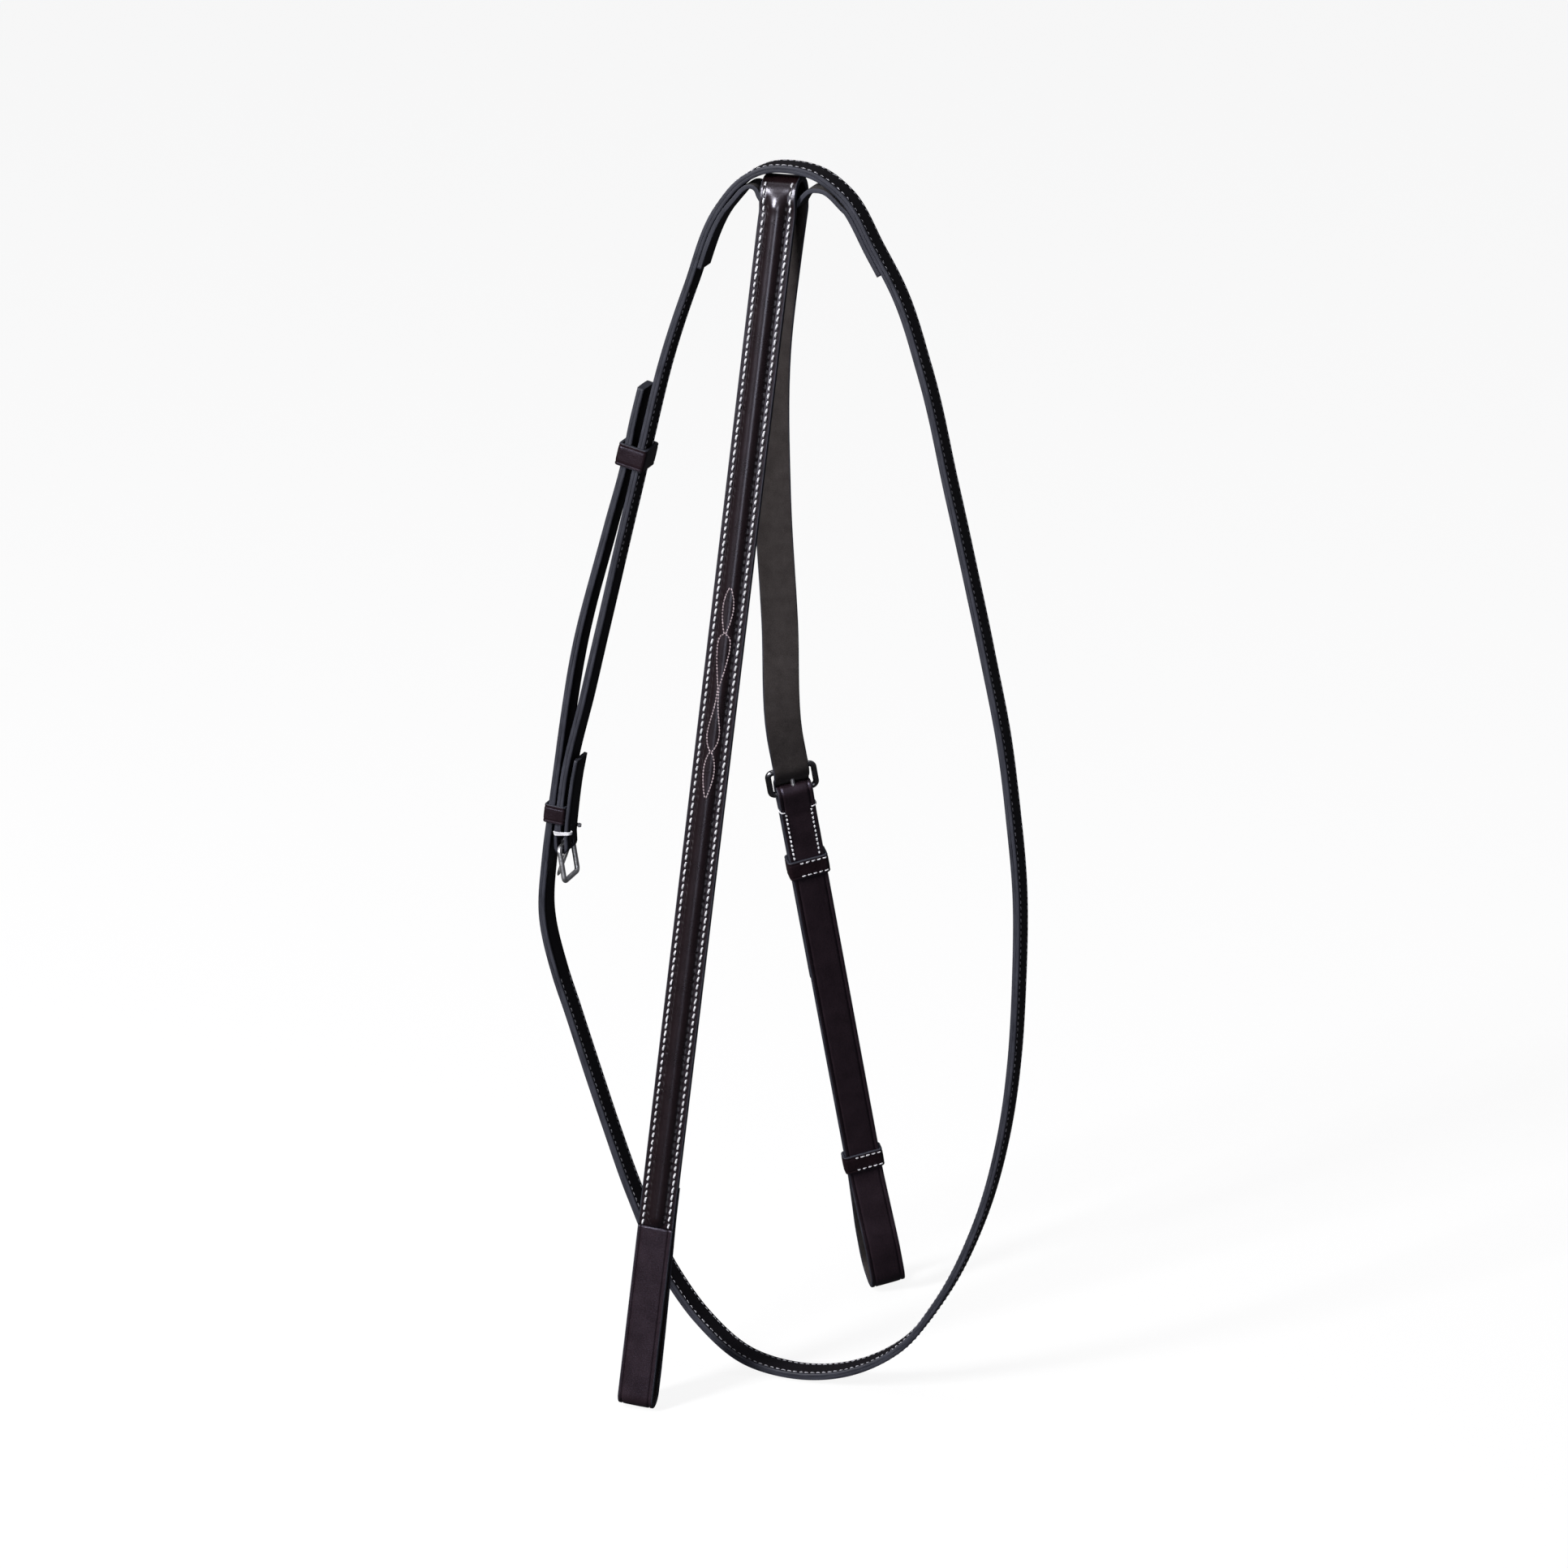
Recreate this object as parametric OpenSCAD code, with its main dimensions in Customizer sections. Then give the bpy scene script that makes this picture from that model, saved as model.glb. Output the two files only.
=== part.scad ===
// Standing martingale for a horse: a buckled neck strap with a slack loop sewn under its crown, and
// a body strap that passes through that loop. Its front leg is raised, stitched and ends in a noseband
// loop. Its rear leg ends in a buckled girth loop. Millimetres, +Z up, the front leg hangs on the -Y side.
// The origin is the top of the neck strap's crown, where the martingale is hung up.

/* [Neck strap] */
// Width of the neck strap
neck_w = 16; // [14:0.5:18]
// Thickness of one leather layer of the neck strap
neck_layer = 1.9; // [1.6:0.1:1.9]
// Thickness of the slot loop's leather, under the crown
loop_t = 2.4; // [1.8:0.1:2.5]
// Height of the keeper stitched in above the neck buckle
neck_keeper_h = 10; // [8:0.5:12]
// Height of the sliding keeper that holds the billet's tail
runner_h = 12; // [10:0.5:13]
// Thickness of the keepers' leather
keeper_t = 1.2; // [1:0.1:1.3]

/* [Body strap] */
// Width of the body strap
body_w = 19; // [17:0.5:20]
// Thickness of the front leg's backing leather
backing_t = 2; // [1.6:0.1:2.2]
// Thickness of the front leg's face leather
face_t = 1.5; // [1.2:0.1:1.7]
// Width of the raised centre
raised_w = 10.4; // [9:0.2:11]
// Height of the raised centre above the flanges
raised_h = 3.4; // [2.5:0.1:3.8]
// Length of the front leg from its bend to the bottom of the noseband loop
front_length = 638; // [620:1:650]
// Length of the noseband loop
noseband_loop_length = 100; // [90:1:110]
// Depth of the noseband loop from front face to back face
noseband_loop_depth = 14; // [12:0.5:16]
// Thickness of the single leather of the rear leg, girth strap and noseband loop
strap_t = 2.4; // [2:0.1:2.5]
// Number of raised lozenges in the fancy stitching
lozenges = 4; // [3:1:5]

/* [Girth end] */
// Length of the girth strap from the buckle's centre to the bottom of its loop
girth_length = 330; // [320:1:338]
// Length of the open girth loop
girth_loop_length = 76; // [70:1:82]
// Depth of the girth loop between its outer faces
girth_loop_depth = 26; // [20:1:30]
// Spacing of the holes punched in the rear leg
hole_pitch = 25; // [22:1:28]

/* [Buckles] */
// Radius of the girth buckle's wire
girth_wire_r = 1.6; // [1.4:0.1:1.7]
// Radius of the neck buckle's wire
neck_wire_r = 1.4; // [1.2:0.1:1.5]

/* [Hidden] */
$fn = 48;
clear = 0.3;               // gap between pieces that slide or swing past each other
thread = 0.5;              // how wide and how proud a row of stitches stands
steps = 4;                 // chords between two points of a route
hole_r = 1.8;              // punched holes

// Neck strap: the line between its two layers, as [x, z], from the buckle over the crown, down the
// right side, round the bottom and up the left side to the tip of the billet.
buckle_run = [[-122, -366], [-121, -356], [-118, -334], [-107, -289], [-90, -218], [-74, -152],
    [-63, -108], [-49, -66], [-32, -24], [-20, -9.8]];
crown_run = [[-7, -3], [5, -2], [19, -4.8], [32.5, -14]];
long_run = [[50, -42], [61, -62], [75, -102], [90, -164], [109, -247], [118, -290], [124, -333],
    [128, -376], [128, -421], [126, -465], [120, -511], [108, -557], [86, -605], [67, -631],
    [40, -648], [7, -654], [-20, -649], [-45, -630], [-62, -608], [-83, -563], [-95, -530],
    [-117, -464], [-124, -443], [-131, -410], [-129, -380], [-125.5, -354], [-122, -330],
    [-111, -263], [-93, -196], [-82.5, -158], [-79, -141], [-74, -121]];
neck_route = concat(buckle_run, crown_run, long_run);
// The slot loop hangs slack under the crown and carries the body strap.
slack_run = [[-23, -18], [-19.4, -13.9], [-16.4, -12.1], [-13.8, -12.1], [-11.8, -13.8], [-10.8, -16.3], [-9, -19],
    [-5.2, -21.3], [0, -22.3], [5, -22], [9, -20.4], [12.3, -15.8], [16, -12.4], [21.5, -11.8]];
loop_from = [29, 32];      // it follows the strap between these points of its curve, then hangs slack,
loop_to = [53, 58];        // and follows the strap again between these

neck_bar = [-120, -372];   // the neck buckle's chape bar, as [x, z]
fold_r = 3;                // mid radius of the leather turned round that bar
turnback_gap = neck_layer + keeper_t + 0.7;

// Body strap
slot_x = 0.4;                // middle of the body strap in the slot
arch_z = -18.1;              // centre of its bend over the slot loop
arch_r = 8.4;              // inner radius of that bend
arch_t = backing_t + face_t;
leg_y = arch_r + arch_t / 2;
leg_z = -23;               // height of the lines that the two legs swing about
leg_gap = 1.4;             // gap between the bend and the top of a leg
front_pose = [-5.2, 5.7, 4];      // forward lean, sideways lean and turn of the front leg
padded_end = front_length - noseband_loop_length;
dome_r = (pow(raised_w / 2, 2) + pow(raised_h, 2)) / (2 * raised_h);
flange_y = -arch_t / 2;
dome_y = flange_y - raised_h + dome_r;
fancy_top = -194;
fancy_length = 111;
stitch_x = body_w / 2 - 2.4;

// Rear leg and girth end
girth_pose = [12.3, -12.3, 32];   // the same three angles for the girth end
girth_at = [-9.6, 44.4, -339.4];  // centre of the girth buckle
bar_z = 6.8;               // the buckle's bars stand this far above and below its centre
side_x = 12.4;             // and its side bars this far out
tongue_lean = 7.4;         // lean at which its tongue rests behind the top bar
fixed_keeper_z = -54;
girth_runner_z = -247;
girth_keeper_h = 11;
tail_y = strap_t * 1.5 + clear;
tail_end = -126;
rear_route = [[slot_x, leg_y, leg_z - 1.5], [-3.6, 11.6, -50], [-10.6, 15.5, -100], [-13.6, 24, -180],
    [-12, 31, -250]];
rear_turn = [0, 2, 6, 14, 22];

// ---- curves ----
function unit(v) = v / norm(v);
function chord(p, i) = norm(p[i + 1] - p[i]);
function slope(p, i) =
    i == 0 ? unit(p[1] - p[0]) :
    i == len(p) - 1 ? unit(p[i] - p[i - 1]) :
    ((p[i] - p[i - 1]) * chord(p, i) / chord(p, i - 1) + (p[i + 1] - p[i]) * chord(p, i - 1) / chord(p, i))
        / (chord(p, i) + chord(p, i - 1));
function blend(p, i, t) =
    let (h = chord(p, i), a = 2 * t * t * t - 3 * t * t + 1, b = t * t * t - 2 * t * t + t,
         c = t * t * t - t * t)
    a * p[i] + b * h * slope(p, i) + (1 - a) * p[i + 1] + c * h * slope(p, i + 1);
// A smooth curve through the points of a route.
function smooth(p, n = steps) =
    concat([for (i = [0 : len(p) - 2], k = [0 : n - 1]) blend(p, i, k / n)], [p[len(p) - 1]]);
function along(p, i) = unit(p[min(i + 1, len(p) - 1)] - p[max(i - 1, 0)]);
// The same curve moved sideways, to the left of its direction.
function aside(p, d) = [for (i = [0 : len(p) - 1]) p[i] + d * [-along(p, i)[1], along(p, i)[0]]];
function reversed(p) = [for (i = [len(p) - 1 : -1 : 0]) p[i]];
function arc(c, r, a0, a1, n) = [for (i = [0 : n]) let (a = a0 + (a1 - a0) * i / n)
    c + r * [cos(a), sin(a)]];

neck_curve = smooth(neck_route);
loop_side = aside(neck_curve, -neck_layer - loop_t / 2 - 0.05);
loop_curve = concat([for (i = [loop_from[0] : loop_from[1] - 1]) loop_side[i]],
    smooth(concat([loop_side[loop_from[1]]], slack_run, [loop_side[loop_to[0]]])),
    [for (i = [loop_to[0] + 1 : loop_to[1]]) loop_side[i]]);

// ---- straps cut from an outline in the XZ plane, their width along Y ----
module upright(w, y = 0) {
    translate([0, y, 0]) rotate([90, 0, 0]) linear_extrude(w, center = true) children();
}
module band(curve, d0, d1) {
    polygon(concat(aside(curve, d0), reversed(aside(curve, d1))));
}

// ---- neck strap ----
module neck_strap_outer() {
    turned = [for (i = [0 : steps * 2 + 1]) neck_curve[i]];
    color("#1b1416") difference() {
        union() {
            upright(neck_w) band(neck_curve, 0, neck_layer);
            upright(neck_w) polygon(concat(
                [aside(turned, neck_layer)[1]],
                arc(neck_bar, fold_r + neck_layer / 2, 180, 360, 16),
                aside(turned, -turnback_gap - neck_layer),
                reversed(aside(turned, -turnback_gap)),
                arc(neck_bar, fold_r - neck_layer / 2, 360, 180, 16),
                [aside(turned, 0)[0], aside(turned, 0)[1]]));
        }
        translate([neck_bar[0], 0, neck_bar[1] - 1]) cube([14, 4.6, 9], center = true);
    }
}
module neck_strap_lining() {
    color("#241c1e") upright(neck_w) band(neck_curve, -neck_layer, 0);
}
module slot_loop() {
    color("#241c1e") upright(neck_w) band(loop_curve, -loop_t / 2, loop_t / 2);
}
module neck_strap_stitching() {
    row_y = neck_w / 2 - 2;
    last = steps * 36 + 1;
    whole = [for (i = [steps * 4 : last]) neck_curve[i]];
    left = [for (i = [steps * 4 : loop_from[0] - 1]) neck_curve[i]];
    right = [for (i = [loop_to[1] + 1 : last]) neck_curve[i]];
    for (side = [-1, 1]) {
        color("gainsboro") upright(thread, side * row_y) band(whole, neck_layer, neck_layer + thread / 2);
        for (run = [left, right])
            color("gainsboro") upright(thread, side * row_y) band(run, -neck_layer - thread / 2, -neck_layer);
    }
}
// A closed leather band: inner size, wall and height, round the Z axis.
module keeper(inner_x, inner_y, wall, h) {
    difference() {
        linear_extrude(h, center = true) rounded(inner_x + 2 * wall, inner_y + 2 * wall, wall + 0.4);
        linear_extrude(h + 1, center = true) rounded(inner_x, inner_y, 0.6);
    }
}
module rounded(x, y, r) {
    square([x - 2 * r, y], center = true);
    square([x, y - 2 * r], center = true);
    for (i = [-1, 1], j = [-1, 1]) translate([i * (x / 2 - r), j * (y / 2 - r)]) circle(r, $fn = 24);
}
module neck_fixed_keeper() {
    color("#2a1a1c") translate([-123.2, 0, -354]) rotate([0, 7, 0])
        keeper(4 * neck_layer + 1.7, neck_w + 0.3, keeper_t, neck_keeper_h);
}
module neck_runner_keeper() {
    color("#2a1a1c") translate([-79.1, 0, -157.5]) rotate([0, 13.8, 0])
        keeper(12.6, neck_w + 2 * clear + 0.2, keeper_t + 0.4, runner_h);
}
module neck_chape_stitch() {
    color("white") for (side = [-1, 1]) translate([-118.9, side * (neck_w / 2 + thread / 2), -364.2])
        rotate([0, 6, 0]) cube([8.6, thread, 0.9], center = true);
}
// A rectangular wire frame in the YZ plane with its first bar on the Y axis.
module wire_frame(w, l, r) {
    for (z = [0, -l]) {
        translate([0, 0, z]) rotate([90, 0, 0]) cylinder(r = r, h = w, center = true);
        for (y = [-w / 2, w / 2]) translate([0, y, z]) sphere(r);
    }
    for (y = [-w / 2, w / 2]) translate([0, y, -l]) cylinder(r = r, h = l);
}
module neck_buckle_frame() {
    color("silver") translate([neck_bar[0], 0, neck_bar[1]]) rotate([0, -9, 0])
        wire_frame(neck_w + 2 * clear + 3.6, 18, neck_wire_r);
}
// A tongue: an eye round the bar and a round shank with a rounded tip.
module tongue(bar_r, r, l, w) {
    eye_r = bar_r + 0.08;
    difference() {
        union() {
            rotate([90, 0, 0]) cylinder(r = eye_r + 1, h = w, center = true);
            translate([0, 0, -l]) cylinder(r = r, h = l);
            translate([0, 0, -l]) sphere(r);
        }
        rotate([90, 0, 0]) cylinder(r = eye_r, h = w + 1, center = true);
    }
}
module neck_buckle_tongue() {
    color("silver") translate([neck_bar[0], 0, neck_bar[1]]) rotate([0, 14, 0])
        tongue(neck_wire_r, 1.1, 19, 3);
}

// ---- body strap in the slot ----
module body_strap_fold() {
    color("#1b1416") translate([slot_x, 0, arch_z]) {
        rotate([90, 0, 90]) rotate_extrude(angle = 180)
            translate([arch_r, -body_w / 2]) square([arch_t, body_w]);
        for (side = [-1, 1])
            translate([-body_w / 2, side * leg_y - arch_t / 2, leg_z - arch_z + arch_t / 2 + leg_gap])
                cube([body_w, arch_t, arch_z - leg_z - arch_t / 2 - leg_gap]);
    }
}

// ---- front leg: local X across, -Y the face, -Z down the strap ----
module front_leg() {
    translate([slot_x, -leg_y, leg_z]) rotate([0, 0, front_pose[2]]) rotate([front_pose[0], 0, 0])
        rotate([0, front_pose[1], 0]) children();
}
module slab(w, y0, y1, z0, z1) {
    translate([-w / 2, y0, z1]) cube([w, y1 - y0, z0 - z1]);
}
module dome(r, z0, z1) {
    translate([0, dome_y, z1]) cylinder(r = r, h = z0 - z1);
    translate([0, dome_y, z1]) sphere(r);
}
module body_strap_backing() {
    color("#241c1e") front_leg() {
        slab(body_w, flange_y + face_t, -flange_y, 0, -padded_end);
        intersection() {
            rotate([0, 90, 0]) cylinder(r = arch_t / 2, h = body_w, center = true);
            translate([-body_w / 2, flange_y + face_t, 0]) cube([body_w, arch_t, arch_t]);
        }
    }
}
module body_strap_face() {
    color("#2a1618") front_leg() {
        difference() {
            union() {
                slab(body_w, flange_y, flange_y + face_t, 0, -padded_end);
                intersection() {
                    dome(dome_r, -8, -padded_end + dome_r);
                    slab(raised_w + 2, flange_y - raised_h - 1, flange_y + 0.2, -8, -padded_end);
                }
            }
            dome(dome_r - face_t, -7, -padded_end + dome_r);
        }
        intersection() {
            rotate([0, 90, 0]) cylinder(r = arch_t / 2, h = body_w, center = true);
            translate([-body_w / 2, flange_y, 0]) cube([body_w, face_t, arch_t]);
        }
    }
}
module body_strap_filler() {
    color("dimgray") front_leg() intersection() {
        dome(dome_r - face_t, -7, -padded_end + dome_r);
        slab(raised_w, flange_y - raised_h, flange_y + face_t, -7, -padded_end + 1);
    }
}
module front_edge_stitching() {
    color("white") front_leg() for (side = [-1, 1]) translate([side * stitch_x, 0, 0])
        slab(thread, flange_y - thread / 2, flange_y, -4, -padded_end + 2);
}
// Lozenges stitched over the raised centre, each from one crossing to the next.
module lozenge_line(i, side) {
    l = fancy_length / lozenges;
    mid = [for (k = [0 : 6]) [side * 2.6 * sin(180 * k / 6), fancy_top - l * (i + k / 6)]];
    polygon(concat(aside(mid, -thread / 2), reversed(aside(mid, thread / 2))));
}
module front_fancy_stitching() {
    color("rosybrown") front_leg() intersection() {
        for (i = [0 : lozenges - 1], side = [-1, 1])
            translate([0, -1, 0]) rotate([90, 0, 0]) linear_extrude(6) lozenge_line(i, side);
        difference() {
            translate([0, dome_y, fancy_top - fancy_length - 5])
                cylinder(r = dome_r + thread / 2, h = fancy_length + 10);
            translate([0, dome_y, fancy_top - fancy_length - 6]) cylinder(r = dome_r, h = fancy_length + 12);
        }
    }
}
// The loop at the bottom, as the middle line of its leather in [y, z].
module noseband_loop() {
    front_y = flange_y + strap_t / 2;
    back_y = flange_y + noseband_loop_depth - strap_t / 2;
    top = -padded_end;
    low = -front_length + strap_t / 2;
    turn_r = (back_y - front_y) / 2;
    seam_y = -flange_y + strap_t / 2 + 0.05;
    line = concat([[front_y, top], [front_y, low + turn_r + 20]],
        arc([front_y + turn_r, low + turn_r], turn_r, 180, 360, 14),
        smooth([[back_y, low + turn_r + 12], [back_y - 1.5, low + 42], [seam_y + 2.2, top - 14],
            [seam_y + 0.3, top + 4], [seam_y, top + 14], [seam_y, top + 22]]));
    color("#2a1a20") front_leg() rotate([90, 0, 90]) linear_extrude(body_w, center = true)
        band(line, -strap_t / 2, strap_t / 2);
}

// ---- rear leg: a flat strap that turns as it comes down to the girth buckle ----
function spin_y(v, a) = [v[0] * cos(a) + v[2] * sin(a), v[1], -v[0] * sin(a) + v[2] * cos(a)];
function spin_x(v, a) = [v[0], v[1] * cos(a) - v[2] * sin(a), v[1] * sin(a) + v[2] * cos(a)];
function spin_z(v, a) = [v[0] * cos(a) - v[1] * sin(a), v[0] * sin(a) + v[1] * cos(a), v[2]];
function girth_dir(v) = spin_z(spin_x(spin_y(v, girth_pose[1]), girth_pose[0]), girth_pose[2]);
function girth_point(y, z) = girth_at + girth_dir([0, y, z]);
// Through the buckle: in front of the top bar, behind the turned leather, then down as the tail.
over_bar = -girth_wire_r - 0.35 - strap_t / 2;
past_fold = girth_wire_r + 0.2 + strap_t * 1.5 + 0.25;
through = [[over_bar, 30], [over_bar, 15], [over_bar, bar_z + 0.4], [-0.5, 2], [3.7, -2.2],
    [past_fold, -bar_z + 0.2], [past_fold, -bar_z - 2.4], [tail_y + 0.2, -20], [tail_y, -32], [tail_y, -80],
    [tail_y, tail_end]];
rear_line = smooth(concat(rear_route, [for (p = through) girth_point(p[0], p[1])]));
rear_across = concat([for (a = rear_turn) spin_z([1, 0, 0], a)], [for (p = through) girth_dir([1, 0, 0])]);
function across(i) =
    let (k = min(floor(i / steps), len(rear_across) - 2), t = i / steps - k)
    (1 - t) * rear_across[k] + t * rear_across[k + 1];
function ring(i) =
    let (t = along(rear_line, i), w0 = across(i), w = unit(w0 - (w0 * t) * t) * body_w / 2,
         n = unit(cross(w, t)) * strap_t / 2)
    [for (s = [[-1, -1], [1, -1], [1, 1], [-1, 1]]) rear_line[i] + s[0] * w + s[1] * n];
module sweep(n) {
    points = [for (i = [0 : n - 1]) each ring(i)];
    sides = [for (i = [0 : n - 2], k = [0 : 3], half = [0, 1])
        let (a = 4 * i + k, b = 4 * i + (k + 1) % 4) half == 0 ? [a, a + 4, b + 4] : [a, b + 4, b]];
    e = 4 * (n - 1);
    polyhedron(points, concat([[0, 1, 2], [0, 2, 3]], sides, [[e, e + 2, e + 1], [e, e + 3, e + 2]]));
}
module girth_end() {
    translate(girth_at) rotate([0, 0, girth_pose[2]]) rotate([girth_pose[0], 0, 0])
        rotate([0, girth_pose[1], 0]) children();
}
module rear_leg_strap() {
    color("#2b2426") difference() {
        sweep(len(rear_line));
        girth_end() {
            translate([0, 2.2, -0.6]) cube([3.6, 14, 13.5], center = true);
            for (z = [1, 2, -2, -3, -4]) translate([0, 0, z * hole_pitch])
                rotate([90, 0, 0]) cylinder(r = hole_r, h = 40, center = true);
        }
    }
}
// Girth strap: one strap folded round the buckle's bar and round the girth, its ends meeting
// under the fixed keeper. Its middle line is in [y, z].
module girth_strap() {
    half = strap_t / 2;
    mid = half + 0.05;
    fold_mid = girth_wire_r + 0.2 + half;
    wide = girth_loop_depth / 2 - half;
    loop_top = -girth_length + girth_loop_length;
    turn_r = 8;
    low = -girth_length + half;
    near = [[-mid, loop_top + 8], [-mid - 0.15, loop_top], [-wide * 0.5, loop_top - 22],
        [-wide, low + turn_r + 14], [-turn_r - 1, low + 4.5]];
    far = [[turn_r + 1, low + 4.5], [wide, low + turn_r + 14], [wide * 0.5, loop_top - 22],
        [mid + 0.15, loop_top], [mid, loop_top + 8]];
    line = concat([[mid, fixed_keeper_z + 0.3], [mid, -21]],
        arc([0, -bar_z], fold_mid, 0, 180, 12), [[-mid, -21]],
        smooth(concat(near, [[0, low]], far)), [[mid, fixed_keeper_z - 0.3]]);
    color("#2a1a20") girth_end() difference() {
        rotate([90, 0, 90]) linear_extrude(body_w, center = true) band(line, -half, half);
        translate([0, 0, -bar_z + 1.5]) cube([4.6, 14, 13], center = true);
    }
}
module girth_buckle_frame() {
    color("#3a3a3e") girth_end() translate([0, 0, bar_z]) rotate([0, 0, 90])
        wire_frame(2 * side_x, 2 * bar_z, girth_wire_r);
}
module girth_buckle_tongue() {
    color("silver") girth_end() difference() {
        union() {
            translate([0, 0, -bar_z]) rotate([0, 90, 0])
                cylinder(r = girth_wire_r + 1.1, h = 3, center = true);
            translate([0, 1.2, -bar_z]) rotate([-tongue_lean, 0, 0]) cylinder(r = 1.2, h = 2 * bar_z + 1);
            translate([0, 1.2, -bar_z]) rotate([-tongue_lean, 0, 0]) translate([0, 0, 2 * bar_z + 1]) sphere(1.2);
        }
        translate([0, 0, -bar_z]) rotate([0, 90, 0])
            cylinder(r = girth_wire_r + 0.08, h = 8, center = true);
    }
}
module girth_fixed_keeper() {
    depth = 3 * strap_t + 2 * clear + 0.15;
    color("#2a1a1c") girth_end() translate([0, depth / 2 - strap_t - clear, fixed_keeper_z])
        keeper(body_w + 2 * clear, depth, keeper_t, girth_keeper_h);
}
module girth_runner_keeper() {
    color("#2a1a1c") girth_end() translate([0, 0, girth_runner_z])
        keeper(body_w + 2 * clear, 2 * strap_t + 2 * clear, keeper_t, girth_keeper_h);
}
module keeper_rows(y, z) {
    for (side = [-1, 1]) translate([2, y - thread / 2, z + side * (girth_keeper_h / 2 - 1.6)])
        cube([13, thread, thread], center = true);
}
module girth_chape_stitching() {
    color("white") girth_end() for (side = [-1, 1])
        translate([side * (body_w / 2 - 2.6), -strap_t - 0.45, -33]) cube([thread, thread, 25], center = true);
}
module girth_fixed_keeper_stitching() {
    color("white") girth_end() keeper_rows(-strap_t - clear - keeper_t, fixed_keeper_z);
}
module girth_runner_stitching() {
    color("white") girth_end() keeper_rows(-strap_t - clear - keeper_t, girth_runner_z);
}

neck_strap_outer();
neck_strap_lining();
slot_loop();
neck_strap_stitching();
neck_fixed_keeper();
neck_runner_keeper();
neck_chape_stitch();
neck_buckle_frame();
neck_buckle_tongue();
body_strap_fold();
body_strap_backing();
body_strap_face();
body_strap_filler();
front_edge_stitching();
front_fancy_stitching();
noseband_loop();
rear_leg_strap();
girth_strap();
girth_buckle_frame();
girth_buckle_tongue();
girth_fixed_keeper();
girth_runner_keeper();
girth_chape_stitching();
girth_fixed_keeper_stitching();
girth_runner_stitching();
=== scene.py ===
"""Looks of the standing martingale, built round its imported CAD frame. Lengths below are in
millimetres in the frame of the CAD part; they become metres when a mesh is made."""
import math

import bpy
import numpy as np
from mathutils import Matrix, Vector


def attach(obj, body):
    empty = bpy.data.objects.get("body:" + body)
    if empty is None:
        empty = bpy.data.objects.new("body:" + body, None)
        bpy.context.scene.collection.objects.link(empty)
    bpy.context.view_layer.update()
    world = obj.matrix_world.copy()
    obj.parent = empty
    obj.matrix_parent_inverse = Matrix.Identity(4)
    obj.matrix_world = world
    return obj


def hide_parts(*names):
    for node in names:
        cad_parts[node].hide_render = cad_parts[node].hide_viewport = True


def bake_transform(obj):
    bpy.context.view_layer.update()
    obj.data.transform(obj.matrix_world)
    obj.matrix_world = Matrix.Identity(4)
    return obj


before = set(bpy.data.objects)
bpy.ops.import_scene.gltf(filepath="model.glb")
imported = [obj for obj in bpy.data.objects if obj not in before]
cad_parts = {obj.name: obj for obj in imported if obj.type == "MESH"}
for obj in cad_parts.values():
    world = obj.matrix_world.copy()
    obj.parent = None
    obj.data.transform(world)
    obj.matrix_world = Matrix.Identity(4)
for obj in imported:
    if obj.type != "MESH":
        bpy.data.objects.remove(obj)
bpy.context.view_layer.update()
MM = 0.001
rng = np.random.default_rng(11)

# ---------------------------------------------------------------- sizes, as in the CAD part
NECK_W, NECK_LAYER, KEEPER_T, SLOT_LOOP_T = 16.0, 1.9, 1.2, 2.4
BODY_W, BACKING_T, FACE_T, STRAP_T = 19.0, 2.0, 1.5, 2.4
RAISED_W, RAISED_H = 10.4, 3.4
FRONT_LENGTH, LOOP_LENGTH, LOOP_DEPTH = 638.0, 100.0, 14.0
GIRTH_LENGTH, GIRTH_LOOP, GIRTH_DEPTH, HOLE_PITCH = 330.0, 76.0, 26.0, 25.0
GIRTH_WIRE, NECK_WIRE = 1.6, 1.4
ARCH_T = BACKING_T + FACE_T
SLOT_X, ARCH_Z, ARCH_R, LEG_Z = 0.4, -18.1, 8.4, -23.0
LEG_Y = ARCH_R + ARCH_T / 2
PADDED_END = FRONT_LENGTH - LOOP_LENGTH
DOME_R = ((RAISED_W / 2) ** 2 + RAISED_H ** 2) / (2 * RAISED_H)
FRONT_POSE = (-5.2, 5.7, 4.0)
GIRTH_POSE = (12.3, -12.3, 32.0)
GIRTH_AT = np.array([-9.6, 44.4, -339.4])
BAR_Z, SIDE_X = 6.8, 12.4
FIXED_KEEPER_Z, GIRTH_RUNNER_Z, GIRTH_KEEPER_H = -54.0, -247.0, 11.0
TAIL_Y, TAIL_END = STRAP_T * 1.5 + 0.3, -126.0
NECK_BAR = np.array([-120.0, -372.0])
FOLD_R = 3.0
TURNBACK_GAP = NECK_LAYER + KEEPER_T + 0.7
FANCY_TOP, FANCY_LENGTH = -194.0, 111.0

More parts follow.
